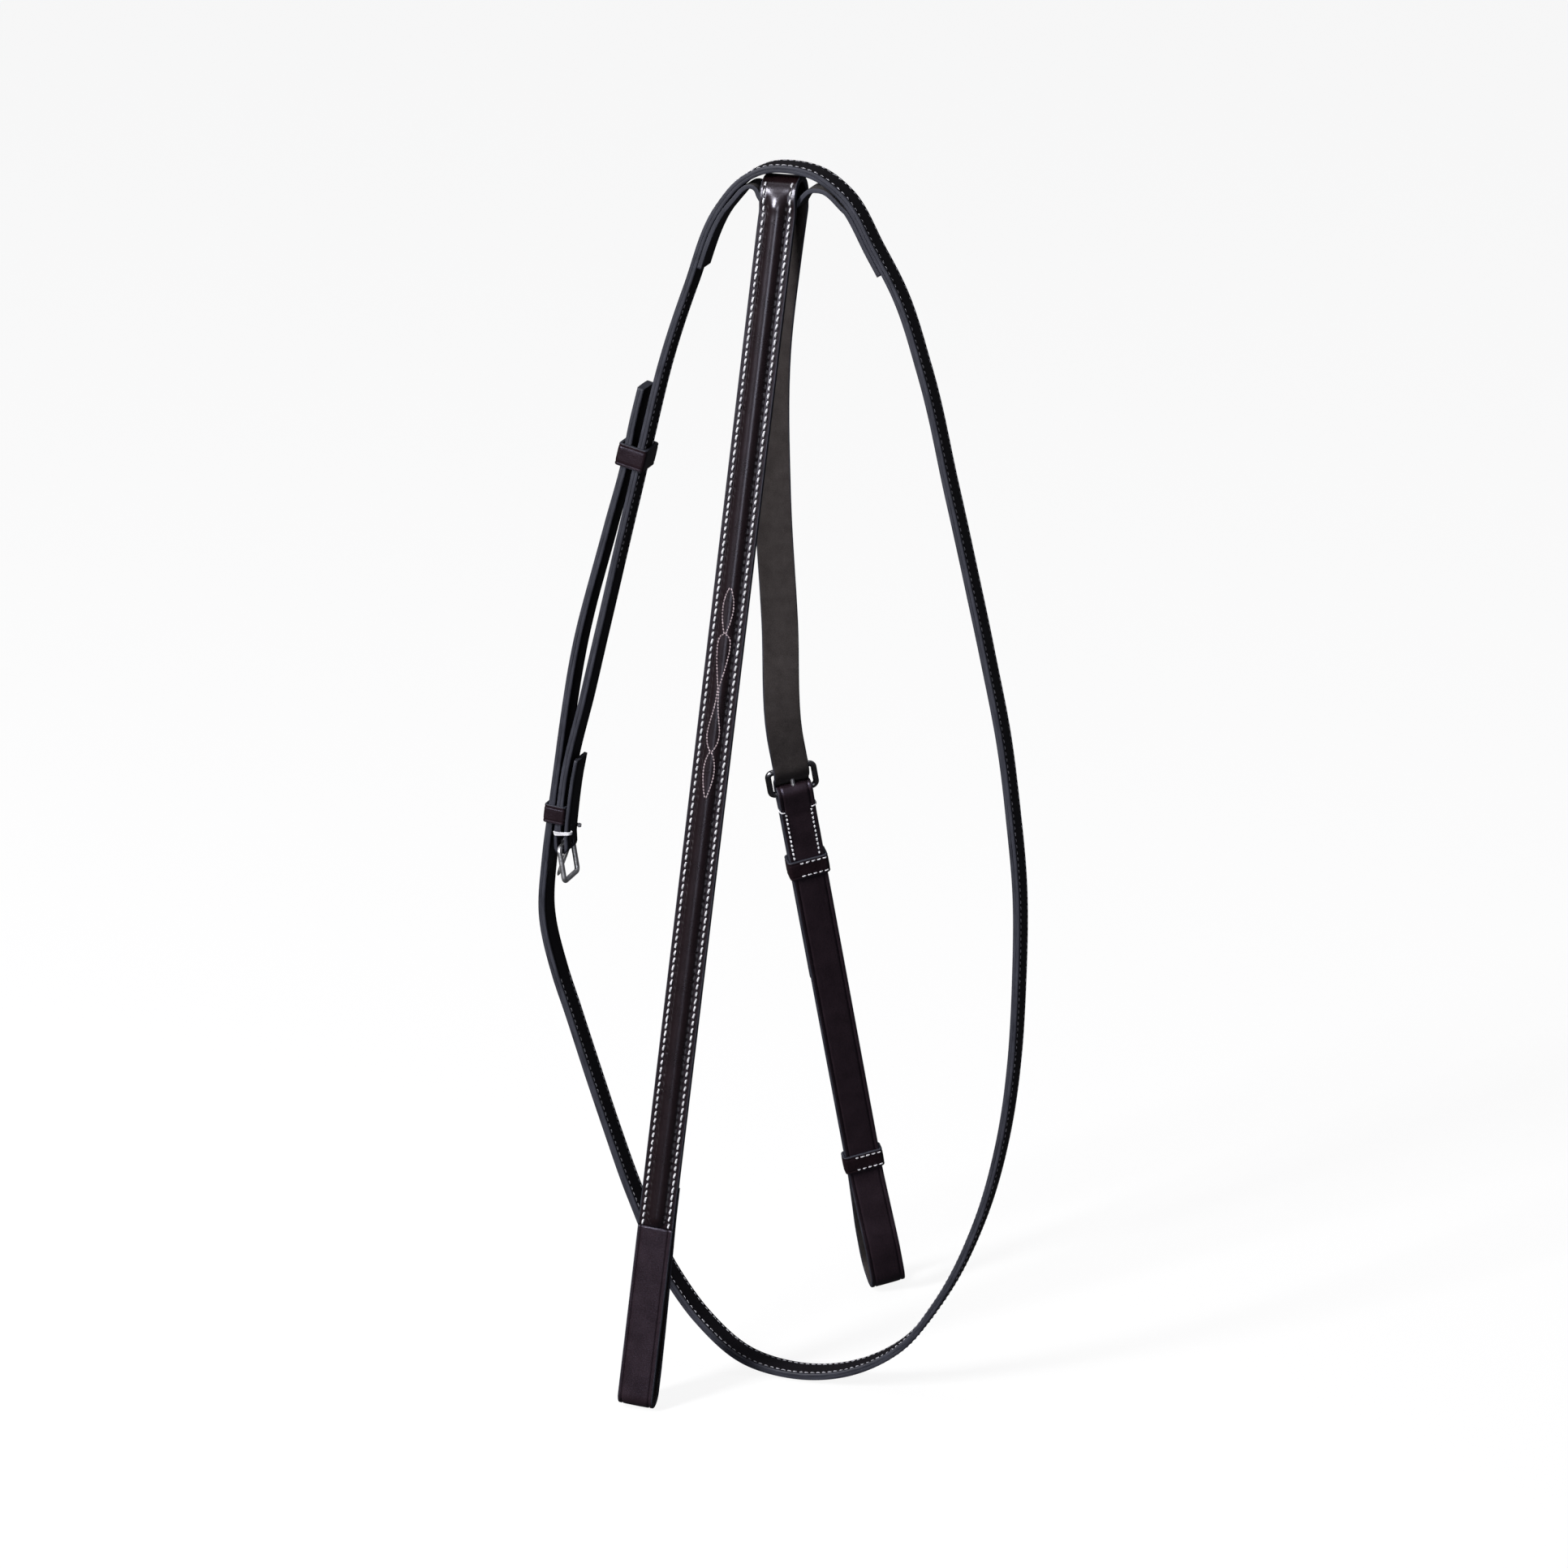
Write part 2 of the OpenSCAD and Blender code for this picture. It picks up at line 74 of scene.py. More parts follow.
BUCKLE_RUN = [(-122, -366), (-121, -356), (-118, -334), (-107, -289), (-90, -218), (-74, -152),
              (-63, -108), (-49, -66), (-32, -24), (-20, -9.8)]
CROWN_RUN = [(-7, -3), (5, -2), (19, -4.8), (32.5, -14)]
LONG_RUN = [(50, -42), (61, -62), (75, -102), (90, -164), (109, -247), (118, -290), (124, -333),
            (128, -376), (128, -421), (126, -465), (120, -511), (108, -557), (86, -605), (67, -631),
            (40, -648), (7, -654), (-20, -649), (-45, -630), (-62, -608), (-83, -563), (-95, -530),
            (-117, -464), (-124, -443), (-131, -410), (-129, -380), (-125.5, -354), (-122, -330),
            (-111, -263), (-93, -196), (-82.5, -158), (-79, -141), (-74, -121)]
SLACK_RUN = [(-23, -18), (-19.4, -13.9), (-16.4, -12.1), (-13.8, -12.1), (-11.8, -13.8), (-10.8, -16.3),
             (-9, -19),
             (-5.2, -21.3), (0, -22.3), (5, -22), (9, -20.4), (12.3, -15.8), (16, -12.4), (21.5, -11.8)]
LOOP_FROM, LOOP_TO = (29, 32), (53, 58)


# ---------------------------------------------------------------- curves
def unit(v):
    v = np.asarray(v, float)
    return v / np.maximum(np.linalg.norm(v, axis=-1, keepdims=True), 1e-12)


def smooth(points, n=8):
    """The CAD's smooth curve through the points, with n chords between two of them."""
    p = np.asarray(points, float)
    chord = np.linalg.norm(np.diff(p, axis=0), axis=1)
    slope = np.empty_like(p)
    slope[0], slope[-1] = unit(p[1] - p[0]), unit(p[-1] - p[-2])
    a, b = chord[:-1, None], chord[1:, None]
    slope[1:-1] = ((p[1:-1] - p[:-2]) * b / a + (p[2:] - p[1:-1]) * a / b) / (a + b)
    out = []
    for i in range(len(p) - 1):
        for k in range(n):
            t = k / n
            c0, c1, c2 = 2 * t**3 - 3 * t**2 + 1, t**3 - 2 * t**2 + t, t**3 - t**2
            out.append(c0 * p[i] + c1 * chord[i] * slope[i] + (1 - c0) * p[i + 1]
                       + c2 * chord[i] * slope[i + 1])
    out.append(p[-1])
    return np.array(out)


def tangents(p):
    t = np.empty_like(p)
    t[1:-1] = p[2:] - p[:-2]
    t[0], t[-1] = p[1] - p[0], p[-1] - p[-2]
    return unit(t)


def aside(p, d):
    """A curve in the plane, moved d to the left of its direction."""
    t = tangents(p)
    return p + d * np.stack([-t[:, 1], t[:, 0]], 1)


def arc(centre, r, a0, a1, n):
    a = np.radians(np.linspace(a0, a1, n + 1))
    return np.asarray(centre, float) + r * np.stack([np.cos(a), np.sin(a)], 1)


def resample(p, step, extra=None):
    """Points at equal steps along p, and extra, such as width directions, carried along."""
    s = np.concatenate([[0], np.cumsum(np.linalg.norm(np.diff(p, axis=0), axis=1))])
    keep = np.concatenate([[True], np.diff(s) > 1e-6])
    s, p = s[keep], p[keep]
    at = np.linspace(0, s[-1], max(2, int(round(s[-1] / step)) + 1))
    q = np.stack([np.interp(at, s, p[:, k]) for k in range(p.shape[1])], 1)
    if extra is None:
        return q
    e = np.asarray(extra)[keep]
    return q, np.stack([np.interp(at, s, e[:, k]) for k in range(e.shape[1])], 1)


def posed(v, pose, at=(0, 0, 0)):
    """The turn that the CAD gives a leg: sideways, then forward, then round the vertical."""
    v = np.asarray(v, float)
    a, b, c = (math.radians(x) for x in pose)
    ry = np.array([[math.cos(b), 0, math.sin(b)], [0, 1, 0], [-math.sin(b), 0, math.cos(b)]])
    rx = np.array([[1, 0, 0], [0, math.cos(a), -math.sin(a)], [0, math.sin(a), math.cos(a)]])
    rz = np.array([[math.cos(c), -math.sin(c), 0], [math.sin(c), math.cos(c), 0], [0, 0, 1]])
    return v @ (rz @ rx @ ry).T + np.asarray(at, float)


FRONT_AT = np.array([SLOT_X, -LEG_Y, LEG_Z])


def front(v):
    return posed(v, FRONT_POSE, FRONT_AT)


def girth(v):
    return posed(v, GIRTH_POSE, GIRTH_AT)


def upright(p, y=0.0):
    """A curve in the XZ plane as points in space."""
    return np.stack([p[:, 0], np.full(len(p), y), p[:, 1]], 1)


# ---------------------------------------------------------------- meshes
def make(name, verts, faces, mats, face_mats=None, uv=None, flat=None, smooth_shade=True):
    mesh = bpy.data.meshes.new(name)
    mesh.from_pydata((np.asarray(verts) * MM).tolist(), [], faces)
    for m in mats:
        mesh.materials.append(m)
    n = len(mesh.polygons)
    mesh.polygons.foreach_set("use_smooth", [smooth_shade] * n)
    if flat is not None:
        for i in flat:
            mesh.polygons[i].use_smooth = False
    if face_mats is not None:
        mesh.polygons.foreach_set("material_index", np.asarray(face_mats, np.int32))
    if uv is not None:
        layer = mesh.uv_layers.new(name="UVMap")
        layer.data.foreach_set("uv", np.asarray(uv, np.float32).ravel())
    mesh.update()
    obj = bpy.data.objects.new(name, mesh)
    bpy.context.scene.collection.objects.link(obj)
    return obj


def sweep(name, path, across, profile, mats, tags, closed=False, caps=True):
    """A strap: its profile, (u across, v outward) in mm, carried along the path. tags gives each
    side of the profile one of mats. The UV map is in mm: along the path, then round the profile."""
    p = np.asarray(path, float)
    n = len(p)
    if closed:
        t = unit(np.roll(p, -1, 0) - np.roll(p, 1, 0))
    else:
        t = tangents(p)
    w = np.broadcast_to(np.asarray(across, float), p.shape)
    w = unit(w - (w * t).sum(1, keepdims=True) * t)
    o = unit(np.cross(t, w))
    prof = np.asarray(profile, float)
    if prof.ndim == 2:
        prof = np.broadcast_to(prof, (n,) + prof.shape)
    k = prof.shape[1]
    verts = (p[:, None] + prof[..., :1] * w[:, None] + prof[..., 1:] * o[:, None]).reshape(-1, 3)
    rings = n if closed else n - 1
    i, j = np.meshgrid(np.arange(rings), np.arange(k), indexing="ij")
    i2, j2 = (i + 1) % n, (j + 1) % k
    quads = np.stack([i * k + j, i * k + j2, i2 * k + j2, i2 * k + j], -1).reshape(-1, 4)
    s = np.concatenate([[0], np.cumsum(np.linalg.norm(np.diff(p, axis=0), axis=1))])
    if closed:
        s = np.append(s, s[-1] + np.linalg.norm(p[0] - p[-1]))
    else:
        s = np.append(s, s[-1])
    mid = prof[n // 2]
    around = np.concatenate([[0], np.cumsum(np.linalg.norm(np.roll(mid, -1, 0) - mid, axis=1))])
    uv = np.stack([np.stack([s[i], around[j]], -1), np.stack([s[i], around[j + 1]], -1),
                   np.stack([s[i + 1], around[j + 1]], -1), np.stack([s[i + 1], around[j]], -1)], 2)
    uv = uv.reshape(-1, 2)
    faces = quads.tolist()
    face_mats = np.tile(np.asarray(tags), rings).tolist()
    flat = None
    if caps and not closed:
        edge = 1 if len(mats) > 1 else 0
        faces += [list(range(k - 1, -1, -1)), [(n - 1) * k + q for q in range(k)]]
        face_mats += [edge, edge]
        flat = [len(faces) - 2, len(faces) - 1]
        uv = np.concatenate([uv, prof[0][::-1], prof[-1]])
    return make(name, verts, faces, mats, face_mats, uv, flat)


FACE, EDGE, BACK = 0, 1, 2


def strap_profile(w, low, high, r=0.55, creases=(), back_creases=(), r_low=None, crown=0.0, dip=0.2):
    """A strap's outline: rounded edges, and creases pressed in at the given distances from the
    middle. Returns the outline and the tag of each of its sides."""
    r_low = r if r_low is None else r_low

    def line(x0, x1, v, marks, sign):
        xs = [(x, 0.0) for x in np.linspace(x0, x1, 13)]
        for m in marks:
            xs = [q for q in xs if abs(q[0] - m) > 0.7]
            xs += [(m - 0.55, 0), (m - 0.3, -0.55 * dip), (m, -dip), (m + 0.3, -0.55 * dip), (m + 0.55, 0)]
        xs.sort(reverse=x0 > x1)
        half = w / 2
        return [(x, v + sign * (d + crown * (1 - (x / half) ** 2))) for x, d in xs]

    def corner(cx, cy, a0, a1, rr):
        a = np.radians(np.linspace(a0, a1, 5))[1:-1]
        return [(cx + rr * math.cos(q), cy + rr * math.sin(q)) for q in a]

    h = w / 2
    both = [m * s for m in creases for s in (-1, 1)]
    low_marks = [m * s for m in back_creases for s in (-1, 1)]
    parts = [(line(-h + r_low, h - r_low, low, low_marks, -1), BACK),
             (corner(h - r_low, low + r_low, -90, 0, r_low), EDGE),
             ([(h, low + r_low), (h, high - r)], EDGE),
             (corner(h - r, high - r, 0, 90, r), EDGE),
             (line(h - r, -h + r, high, both, 1), FACE),
             (corner(-h + r, high - r, 90, 180, r), EDGE),
             ([(-h, high - r), (-h, low + r_low)], EDGE),
             (corner(-h + r_low, low + r_low, 180, 270, r_low), EDGE)]
    points, tags = [], []
    for k, (part, tag) in enumerate(parts):
        for q in part:
            points.append(q)
            tags.append(tag)
        if tag in (FACE, BACK):
            tags[-1] = EDGE
    return np.array(points), tags


def tube(name, path, r, mats, closed=False, sides=12, up=(0, 1, 0)):
    """A round wire or thread along a path."""
    p = np.asarray(path, float)
    t = unit(np.roll(p, -1, 0) - np.roll(p, 1, 0)) if closed else tangents(p)
    w = [unit(np.cross(t[0], up)) if np.linalg.norm(np.cross(t[0], up)) > 0.1
         else unit(np.cross(t[0], (1, 0, 0)))]
    for q in t[1:]:
        v = w[-1] - np.dot(w[-1], q) * q
        w.append(unit(v))
    a = np.linspace(0, 2 * math.pi, sides, endpoint=False)
    rr = np.broadcast_to(np.asarray(r, float), (len(p),))
    prof = rr[:, None, None] * np.stack([np.cos(a), np.sin(a)], 1)[None]
    return sweep(name, p, np.array(w), prof, mats, [0] * sides, closed=closed)


def join(name, objs):
    """Several meshes as one piece."""
    verts, faces, mats, slots, uvs, smooths, base = [], [], [], [], [], [], 0
    for o in objs:
        m = o.data
        for mat in m.materials:
            if mat not in mats:
                mats.append(mat)
        verts += [tuple(v.co) for v in m.vertices]
        for f in m.polygons:
            faces.append([base + q for q in f.vertices])
            slots.append(mats.index(m.materials[f.material_index]))
            smooths.append(f.use_smooth)
        uvs += [tuple(d.uv) for d in m.uv_layers[0].data]
        base += len(m.vertices)
        bpy.data.objects.remove(o)
        bpy.data.meshes.remove(m)
    made = make(name, np.array(verts) / MM, faces, mats, slots, np.array(uvs))
    made.data.polygons.foreach_set("use_smooth", smooths)
    return made


def cut(obj, cutters):
    """Cuts the cutters out of obj; the walls of the cut take the cutter's material."""
    for c in cutters:
        m = obj.modifiers.new("cut", "BOOLEAN")
        m.operation, m.object, m.solver = "DIFFERENCE", c, "EXACT"
        m.material_mode = "TRANSFER"
    bpy.context.view_layer.update()
    evaluated = obj.evaluated_get(bpy.context.evaluated_depsgraph_get())
    mesh = bpy.data.meshes.new_from_object(evaluated)
    obj.modifiers.clear()
    obj.data = mesh
    for c in cutters:
        bpy.data.objects.remove(c)
    return obj


def stitches(name, centre, direction, side, out, length, radius, mat, lift=0.25, slant=0.0, sag=0.5):
    """Single stitches of thread: each is a short bent roll whose ends go into the leather."""
    c = np.asarray(centre, float)
    d, s, o = unit(direction), unit(side), unit(out)
    d = unit(d + slant * s)
    s = unit(np.cross(o, d))
    o = unit(np.cross(d, s))
    t = np.array([-1, -0.86, -0.55, 0, 0.55, 0.86, 1.0])
    size = np.array([0.45, 0.8, 1.0, 1.05, 1.0, 0.8, 0.45])
    high = lift - (lift + sag) * np.abs(t) ** 3
    a = np.linspace(0, 2 * math.pi, 8, endpoint=False)
    k = len(a)
    x = np.repeat(t * length / 2, k)
    y = (size[:, None] * np.cos(a)[None]).ravel() * radius
    z = (size[:, None] * np.sin(a)[None]).ravel() * radius + np.repeat(high, k) * radius * 2
    n = len(c)
    wob = 1 + 0.08 * rng.standard_normal((n, 1, 1))
    verts = (c[:, None] + wob * x[None, :, None] * d[:, None] + y[None, :, None] * s[:, None]
             + z[None, :, None] * o[:, None]).reshape(-1, 3)
    per = len(t) * k
    base = []
    for i in range(len(t) - 1):
        for j in range(k):
            q = (j + 1) % k
            base.append([i * k + j, i * k + q, (i + 1) * k + q, (i + 1) * k + j])
    base = np.array(base)
    quads = (base[None] + (np.arange(n) * per)[:, None, None]).reshape(-1, 4)
    u = np.stack([x[base] + 0 * base, (base % k) * radius * 0.8], -1)
    uv = np.broadcast_to(u[None], (n,) + u.shape).copy()
    uv[..., 0] += (np.arange(n) * 1.37)[:, None, None]
    return make(name, verts, quads.tolist(), [mat], None, uv.reshape(-1, 2))


def row(path, across, pitch, u, v, start=0.0, end=None):
    """Places along a strap for a row of stitches: centre, direction, side, outward."""
    p = np.asarray(path, float)
    s = np.concatenate([[0], np.cumsum(np.linalg.norm(np.diff(p, axis=0), axis=1))])
    end = s[-1] if end is None else end
    at = np.arange(start + pitch / 2, end, pitch)
    t = tangents(p)
    w = np.broadcast_to(np.asarray(across, float), p.shape)
    w = unit(w - (w * t).sum(1, keepdims=True) * t)
    o = np.cross(t, w)

    def pick(q):
        return np.stack([np.interp(at, s, q[:, k]) for k in range(3)], 1)
    pp, tt, ww, oo = pick(p), unit(pick(t)), unit(pick(w)), unit(pick(o))
    uu = u(at)[:, None] if callable(u) else u
    vv = v(at)[:, None] if callable(v) else v
    return pp + uu * ww + vv * oo, tt, ww, oo


# ---------------------------------------------------------------- materials
def nodes_of(name):
    m = bpy.data.materials.new(name)
    m.use_nodes = True
    nt = m.node_tree
    return m, nt, nt.nodes["Principled BSDF"]


def node(nt, kind, **values):
    n = nt.nodes.new(kind)
    for key, value in values.items():
        if hasattr(n, key):
            setattr(n, key, value)
        else:
            n.inputs[key.replace("_", " ")].default_value = value
    return n


def noise(nt, co, scale, detail=3.0, rough=0.5, stretch=None):
    source = co
    if stretch is not None:
        mp = node(nt, "ShaderNodeMapping")
        mp.inputs["Scale"].default_value = stretch
        nt.links.new(co, mp.inputs["Vector"])
        source = mp.outputs["Vector"]
    n = node(nt, "ShaderNodeTexNoise", Scale=scale, Detail=detail, Roughness=rough)
    nt.links.new(source, n.inputs["Vector"])
    return n.outputs["Fac"]


def ramp(nt, fac, stops):
    r = node(nt, "ShaderNodeValToRGB")
    r.color_ramp.elements[0].position, r.color_ramp.elements[0].color = stops[0][0], (*stops[0][1], 1)
    r.color_ramp.elements[1].position, r.color_ramp.elements[1].color = stops[-1][0], (*stops[-1][1], 1)
    for pos, col in stops[1:-1]:
        e = r.color_ramp.elements.new(pos)
        e.color = (*col, 1)
    nt.links.new(fac, r.inputs["Fac"])
    return r.outputs["Color"]


def span(nt, fac, a, b, lo=0.3, hi=0.7):
    n = node(nt, "ShaderNodeMapRange")
    n.inputs["From Min"].default_value, n.inputs["From Max"].default_value = lo, hi
    n.inputs["To Min"].default_value, n.inputs["To Max"].default_value = a, b
    nt.links.new(fac, n.inputs["Value"])
    return n.outputs["Result"]


def bump(nt, height, distance, strength=1.0, under=None):
    b = node(nt, "ShaderNodeBump", Strength=strength, Distance=distance)
    nt.links.new(height, b.inputs["Height"])
    if under is not None:
        nt.links.new(under, b.inputs["Normal"])
    return b.outputs["Normal"]


def uv_of(nt):
    return node(nt, "ShaderNodeUVMap", uv_map="UVMap").outputs["UV"]


def leather(name, dark, light, rough=(0.36, 0.52), spec=0.4, tint=(1, 1, 1), coat=0.0, coat_rough=0.3,
            grain=0.05, pores=0.03, cell=1.6, sheen=0.0, sheen_tint=(1, 1, 1), use_uv=True):
    """Dyed strap leather: mottled dye, fine cells of grain, pores and a waxed, uneven gloss."""
    m, nt, b = nodes_of(name)
    co = uv_of(nt) if use_uv else node(nt, "ShaderNodeTexCoord").outputs["Object"]
    unit_scale = 1.0 if use_uv else 1000.0
    mottle = noise(nt, co, 0.09 * unit_scale, 4.0, 0.6)
    fine = noise(nt, co, 1.1 * unit_scale, 3.0, 0.6)
    mixed = node(nt, "ShaderNodeMath", operation="ADD")
    nt.links.new(mottle, mixed.inputs[0])
    nt.links.new(fine, mixed.inputs[1])
    half = node(nt, "ShaderNodeMath", operation="MULTIPLY")
    half.inputs[1].default_value = 0.5
    nt.links.new(mixed.outputs[0], half.inputs[0])
    nt.links.new(ramp(nt, half.outputs[0], [(0.34, dark), (0.66, light)]), b.inputs["Base Color"])
    nt.links.new(span(nt, half.outputs[0], rough[0], rough[1]), b.inputs["Roughness"])
    cells = node(nt, "ShaderNodeTexVoronoi", feature="F1", Scale=cell * unit_scale)
    nt.links.new(co, cells.inputs["Vector"])
    pore = noise(nt, co, 4.2 * unit_scale, 2.0, 0.5)
    n1 = bump(nt, cells.outputs["Distance"], grain * MM)
    n2 = bump(nt, pore, pores * MM, under=n1)
    nt.links.new(n2, b.inputs["Normal"])
    b.inputs["Specular IOR Level"].default_value = spec
    b.inputs["Specular Tint"].default_value = (*tint, 1)
    b.inputs["Coat Weight"].default_value = coat
    b.inputs["Coat Roughness"].default_value = coat_rough
    b.inputs["Sheen Weight"].default_value = sheen
    b.inputs["Sheen Roughness"].default_value = 0.5
    b.inputs["Sheen Tint"].default_value = (*sheen_tint, 1)
    return m


def edge_paint(name, dark, light, rough=(0.5, 0.7), spec=0.35, tint=(1, 1, 1)):
    """The burnished, inked edge of a strap: fibres lie along the strap."""
    m, nt, b = nodes_of(name)
    co = uv_of(nt)
    fibres = noise(nt, co, 1.0, 3.0, 0.6, stretch=(0.12, 2.2, 1))
    patches = noise(nt, co, 0.07, 3.0, 0.6)
    add = node(nt, "ShaderNodeMath", operation="MULTIPLY_ADD")
    add.inputs[1].default_value = 0.5
    half = node(nt, "ShaderNodeMath", operation="MULTIPLY")
    half.inputs[1].default_value = 0.5
    nt.links.new(patches, half.inputs[0])
    nt.links.new(fibres, add.inputs[0])
    nt.links.new(half.outputs[0], add.inputs[2])
    nt.links.new(ramp(nt, add.outputs[0], [(0.36, dark), (0.64, light)]), b.inputs["Base Color"])
    nt.links.new(span(nt, patches, rough[0], rough[1]), b.inputs["Roughness"])
    nt.links.new(bump(nt, fibres, 0.05 * MM), b.inputs["Normal"])
    b.inputs["Specular IOR Level"].default_value = spec
    b.inputs["Specular Tint"].default_value = (*tint, 1)
    return m


def flesh(name, dark, light):
    """The dyed flesh side: matte, with a short loose nap and light fibre ends."""
    m, nt, b = nodes_of(name)
    co = uv_of(nt)
    nap = noise(nt, co, 1.8, 5.0, 0.75)
    patches = noise(nt, co, 0.12, 4.0, 0.65)
    add = node(nt, "ShaderNodeMath", operation="MULTIPLY_ADD")
    add.inputs[1].default_value = 0.6
    half = node(nt, "ShaderNodeMath", operation="MULTIPLY")
    half.inputs[1].default_value = 0.4
    nt.links.new(patches, half.inputs[0])
    nt.links.new(nap, add.inputs[0])
    nt.links.new(half.outputs[0], add.inputs[2])
    bright = tuple(min(1, x * 2.6) for x in light)
    nt.links.new(ramp(nt, add.outputs[0], [(0.36, dark), (0.62, light), (0.74, bright)]),
                 b.inputs["Base Color"])
    nt.links.new(span(nt, nap, 0.7, 0.9), b.inputs["Roughness"])
    nt.links.new(bump(nt, nap, 0.16 * MM), b.inputs["Normal"])
    b.inputs["Specular IOR Level"].default_value = 0.2
    b.inputs["Sheen Weight"].default_value = 0.05
    return m


def thread(name, dark, light, rough=0.55, twist=1.5, spec=0.4):
    """Waxed linen thread: two plies that wind round each other, and a little soiling."""
    m, nt, b = nodes_of(name)
    co = uv_of(nt)
    mp = node(nt, "ShaderNodeMapping")
    mp.inputs["Rotation"].default_value = (0, 0, 0.75)
    nt.links.new(co, mp.inputs["Vector"])
    wave = node(nt, "ShaderNodeTexWave", Scale=twist, Distortion=0.6, Detail=1.0)
    nt.links.new(mp.outputs["Vector"], wave.inputs["Vector"])
    dirt = noise(nt, co, 0.4, 3.0, 0.6)
    nt.links.new(ramp(nt, dirt, [(0.3, dark), (0.6, light)]), b.inputs["Base Color"])
    nt.links.new(span(nt, dirt, rough - 0.08, rough + 0.1), b.inputs["Roughness"])
    nt.links.new(bump(nt, wave.outputs["Fac"], 0.09 * MM), b.inputs["Normal"])
    b.inputs["Specular IOR Level"].default_value = spec
    b.inputs["Sheen Weight"].default_value = 0.1
    return m


def steel(name, base, rough=(0.12, 0.26)):
    """Polished steel wire: fine drawing lines along the wire and a few dull patches."""
    m, nt, b = nodes_of(name)
    co = uv_of(nt)
    lines = noise(nt, co, 2.2, 3.0, 0.6, stretch=(0.15, 4.0, 1))
    patches = noise(nt, co, 0.35, 3.0, 0.6)
    nt.links.new(ramp(nt, patches, [(0.3, tuple(x * 0.8 for x in base)), (0.7, base)]),
                 b.inputs["Base Color"])
    nt.links.new(span(nt, patches, rough[0], rough[1]), b.inputs["Roughness"])
    nt.links.new(bump(nt, lines, 0.012 * MM), b.inputs["Normal"])
    b.inputs["Metallic"].default_value = 1.0
    return m


COOL = (0.78, 0.76, 1.0)
grain_leather = leather("grain_leather", (0.0125, 0.0078, 0.0102), (0.027, 0.0165, 0.0215),
                        rough=(0.28, 0.42),
                        spec=0.5, tint=COOL)
neck_leather = leather("neck_leather", (0.0032, 0.0026, 0.0028), (0.0068, 0.0054, 0.0056), rough=(0.46, 0.62),
                       spec=0.25, tint=COOL, grain=0.06)
raised_leather = leather("raised_leather", (0.0052, 0.0022, 0.0026), (0.0115, 0.005, 0.0058),
                         rough=(0.24, 0.36),
                         spec=0.5, tint=COOL, coat=0.9, coat_rough=0.26, grain=0.02, pores=0.012)
keeper_leather = leather("keeper_leather", (0.0085, 0.0042, 0.0052), (0.018, 0.0095, 0.0115),
                         rough=(0.3, 0.46), tint=COOL)
lining_leather = leather("lining_leather", (0.0036, 0.003, 0.0034), (0.0072, 0.006, 0.0068),
                         rough=(0.52, 0.7),
                         spec=0.22, tint=COOL, grain=0.07)
# Strap edges are inked near-black, but they get a lighter blue-grey than the faces. That lightness is painted
# light: the frontal light and sheen that the edges catch.
inked_edge_painted_light = edge_paint("inked_edge_painted_light", (0.017, 0.018, 0.026), (0.042, 0.044, 0.06))
flesh_leather = flesh("flesh_leather", (0.024, 0.0195, 0.019), (0.054, 0.0465, 0.0455))
white_thread = thread("white_thread", (0.74, 0.74, 0.78), (0.92, 0.92, 0.95))
fancy_thread = thread("fancy_thread", (0.4, 0.31, 0.34), (0.68, 0.56, 0.6), twist=2.2)
dark_thread = thread("dark_thread", (0.3, 0.3, 0.33), (0.6, 0.6, 0.65), twist=2.2)
bright_steel = steel("bright_steel", (0.94, 0.94, 0.95), rough=(0.34, 0.46))
# The girth buckle frame is the same steel as its tongue. Its dark base colour is painted reflection of dark
# surroundings, not a darker metal.
steel_painted_dark_reflection = steel("steel_painted_dark_reflection", (0.24, 0.24, 0.255), rough=(0.2, 0.34))


def ride(obj, body, slot, *replaced):
    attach(obj, body)
    if replaced:
        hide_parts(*replaced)
    return obj


def bends(obj, slot, leg, *replaced):
    """A piece of the body strap near where its leg hangs from the slot: its transform is baked into its mesh,
    and the CAD parts it replaces are hidden.
    """
    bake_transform(obj)
    if replaced:
        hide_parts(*replaced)
    return obj


# ---------------------------------------------------------------- neck strap
neck = smooth(BUCKLE_RUN + CROWN_RUN + LONG_RUN, 4)
turned = neck[:4 * 2 + 2]
neck_fine = smooth(BUCKLE_RUN + CROWN_RUN + LONG_RUN, 12)
outer_line = np.concatenate([
    aside(turned, -TURNBACK_GAP - NECK_LAYER / 2)[::-1],
    arc(NECK_BAR, FOLD_R, 0, -180, 18)[:-1],
    aside(neck_fine, NECK_LAYER / 2)])
lining_mid = aside(neck_fine, -NECK_LAYER / 2)
loop_side = aside(neck_fine, -NECK_LAYER - SLOT_LOOP_T / 2 - 0.05)
slot_line = np.concatenate([
    loop_side[3 * LOOP_FROM[0]:3 * LOOP_FROM[1]],
    smooth(np.concatenate([[loop_side[3 * LOOP_FROM[1]]], SLACK_RUN, [loop_side[3 * LOOP_TO[0]]]]), 8),
    loop_side[3 * LOOP_TO[0] + 1:3 * LOOP_TO[1] + 1]])


def worn(p, amount=0.18, period=60.0):
    """Hand-cut leather isn't ruled: the line wanders by a fraction of a millimetre."""
    s = np.concatenate([[0], np.cumsum(np.linalg.norm(np.diff(p, axis=0), axis=1))])
    ends = np.clip(np.minimum(s, s[-1] - s) / 30, 0, 1)
    sway = np.sin(s / period * 6.283) * 0.6 + np.sin(s / period * 2.17 + 1.3) * 0.4
    return sway * amount * ends


def neck_layer_mesh(name, line, profile, mats, step=1.4):
    p = resample(upright(line), step)
    p[:, 1] += worn(p)
    prof, tags = profile
    return sweep(name, p, (0, 1, 0), prof, mats, tags)


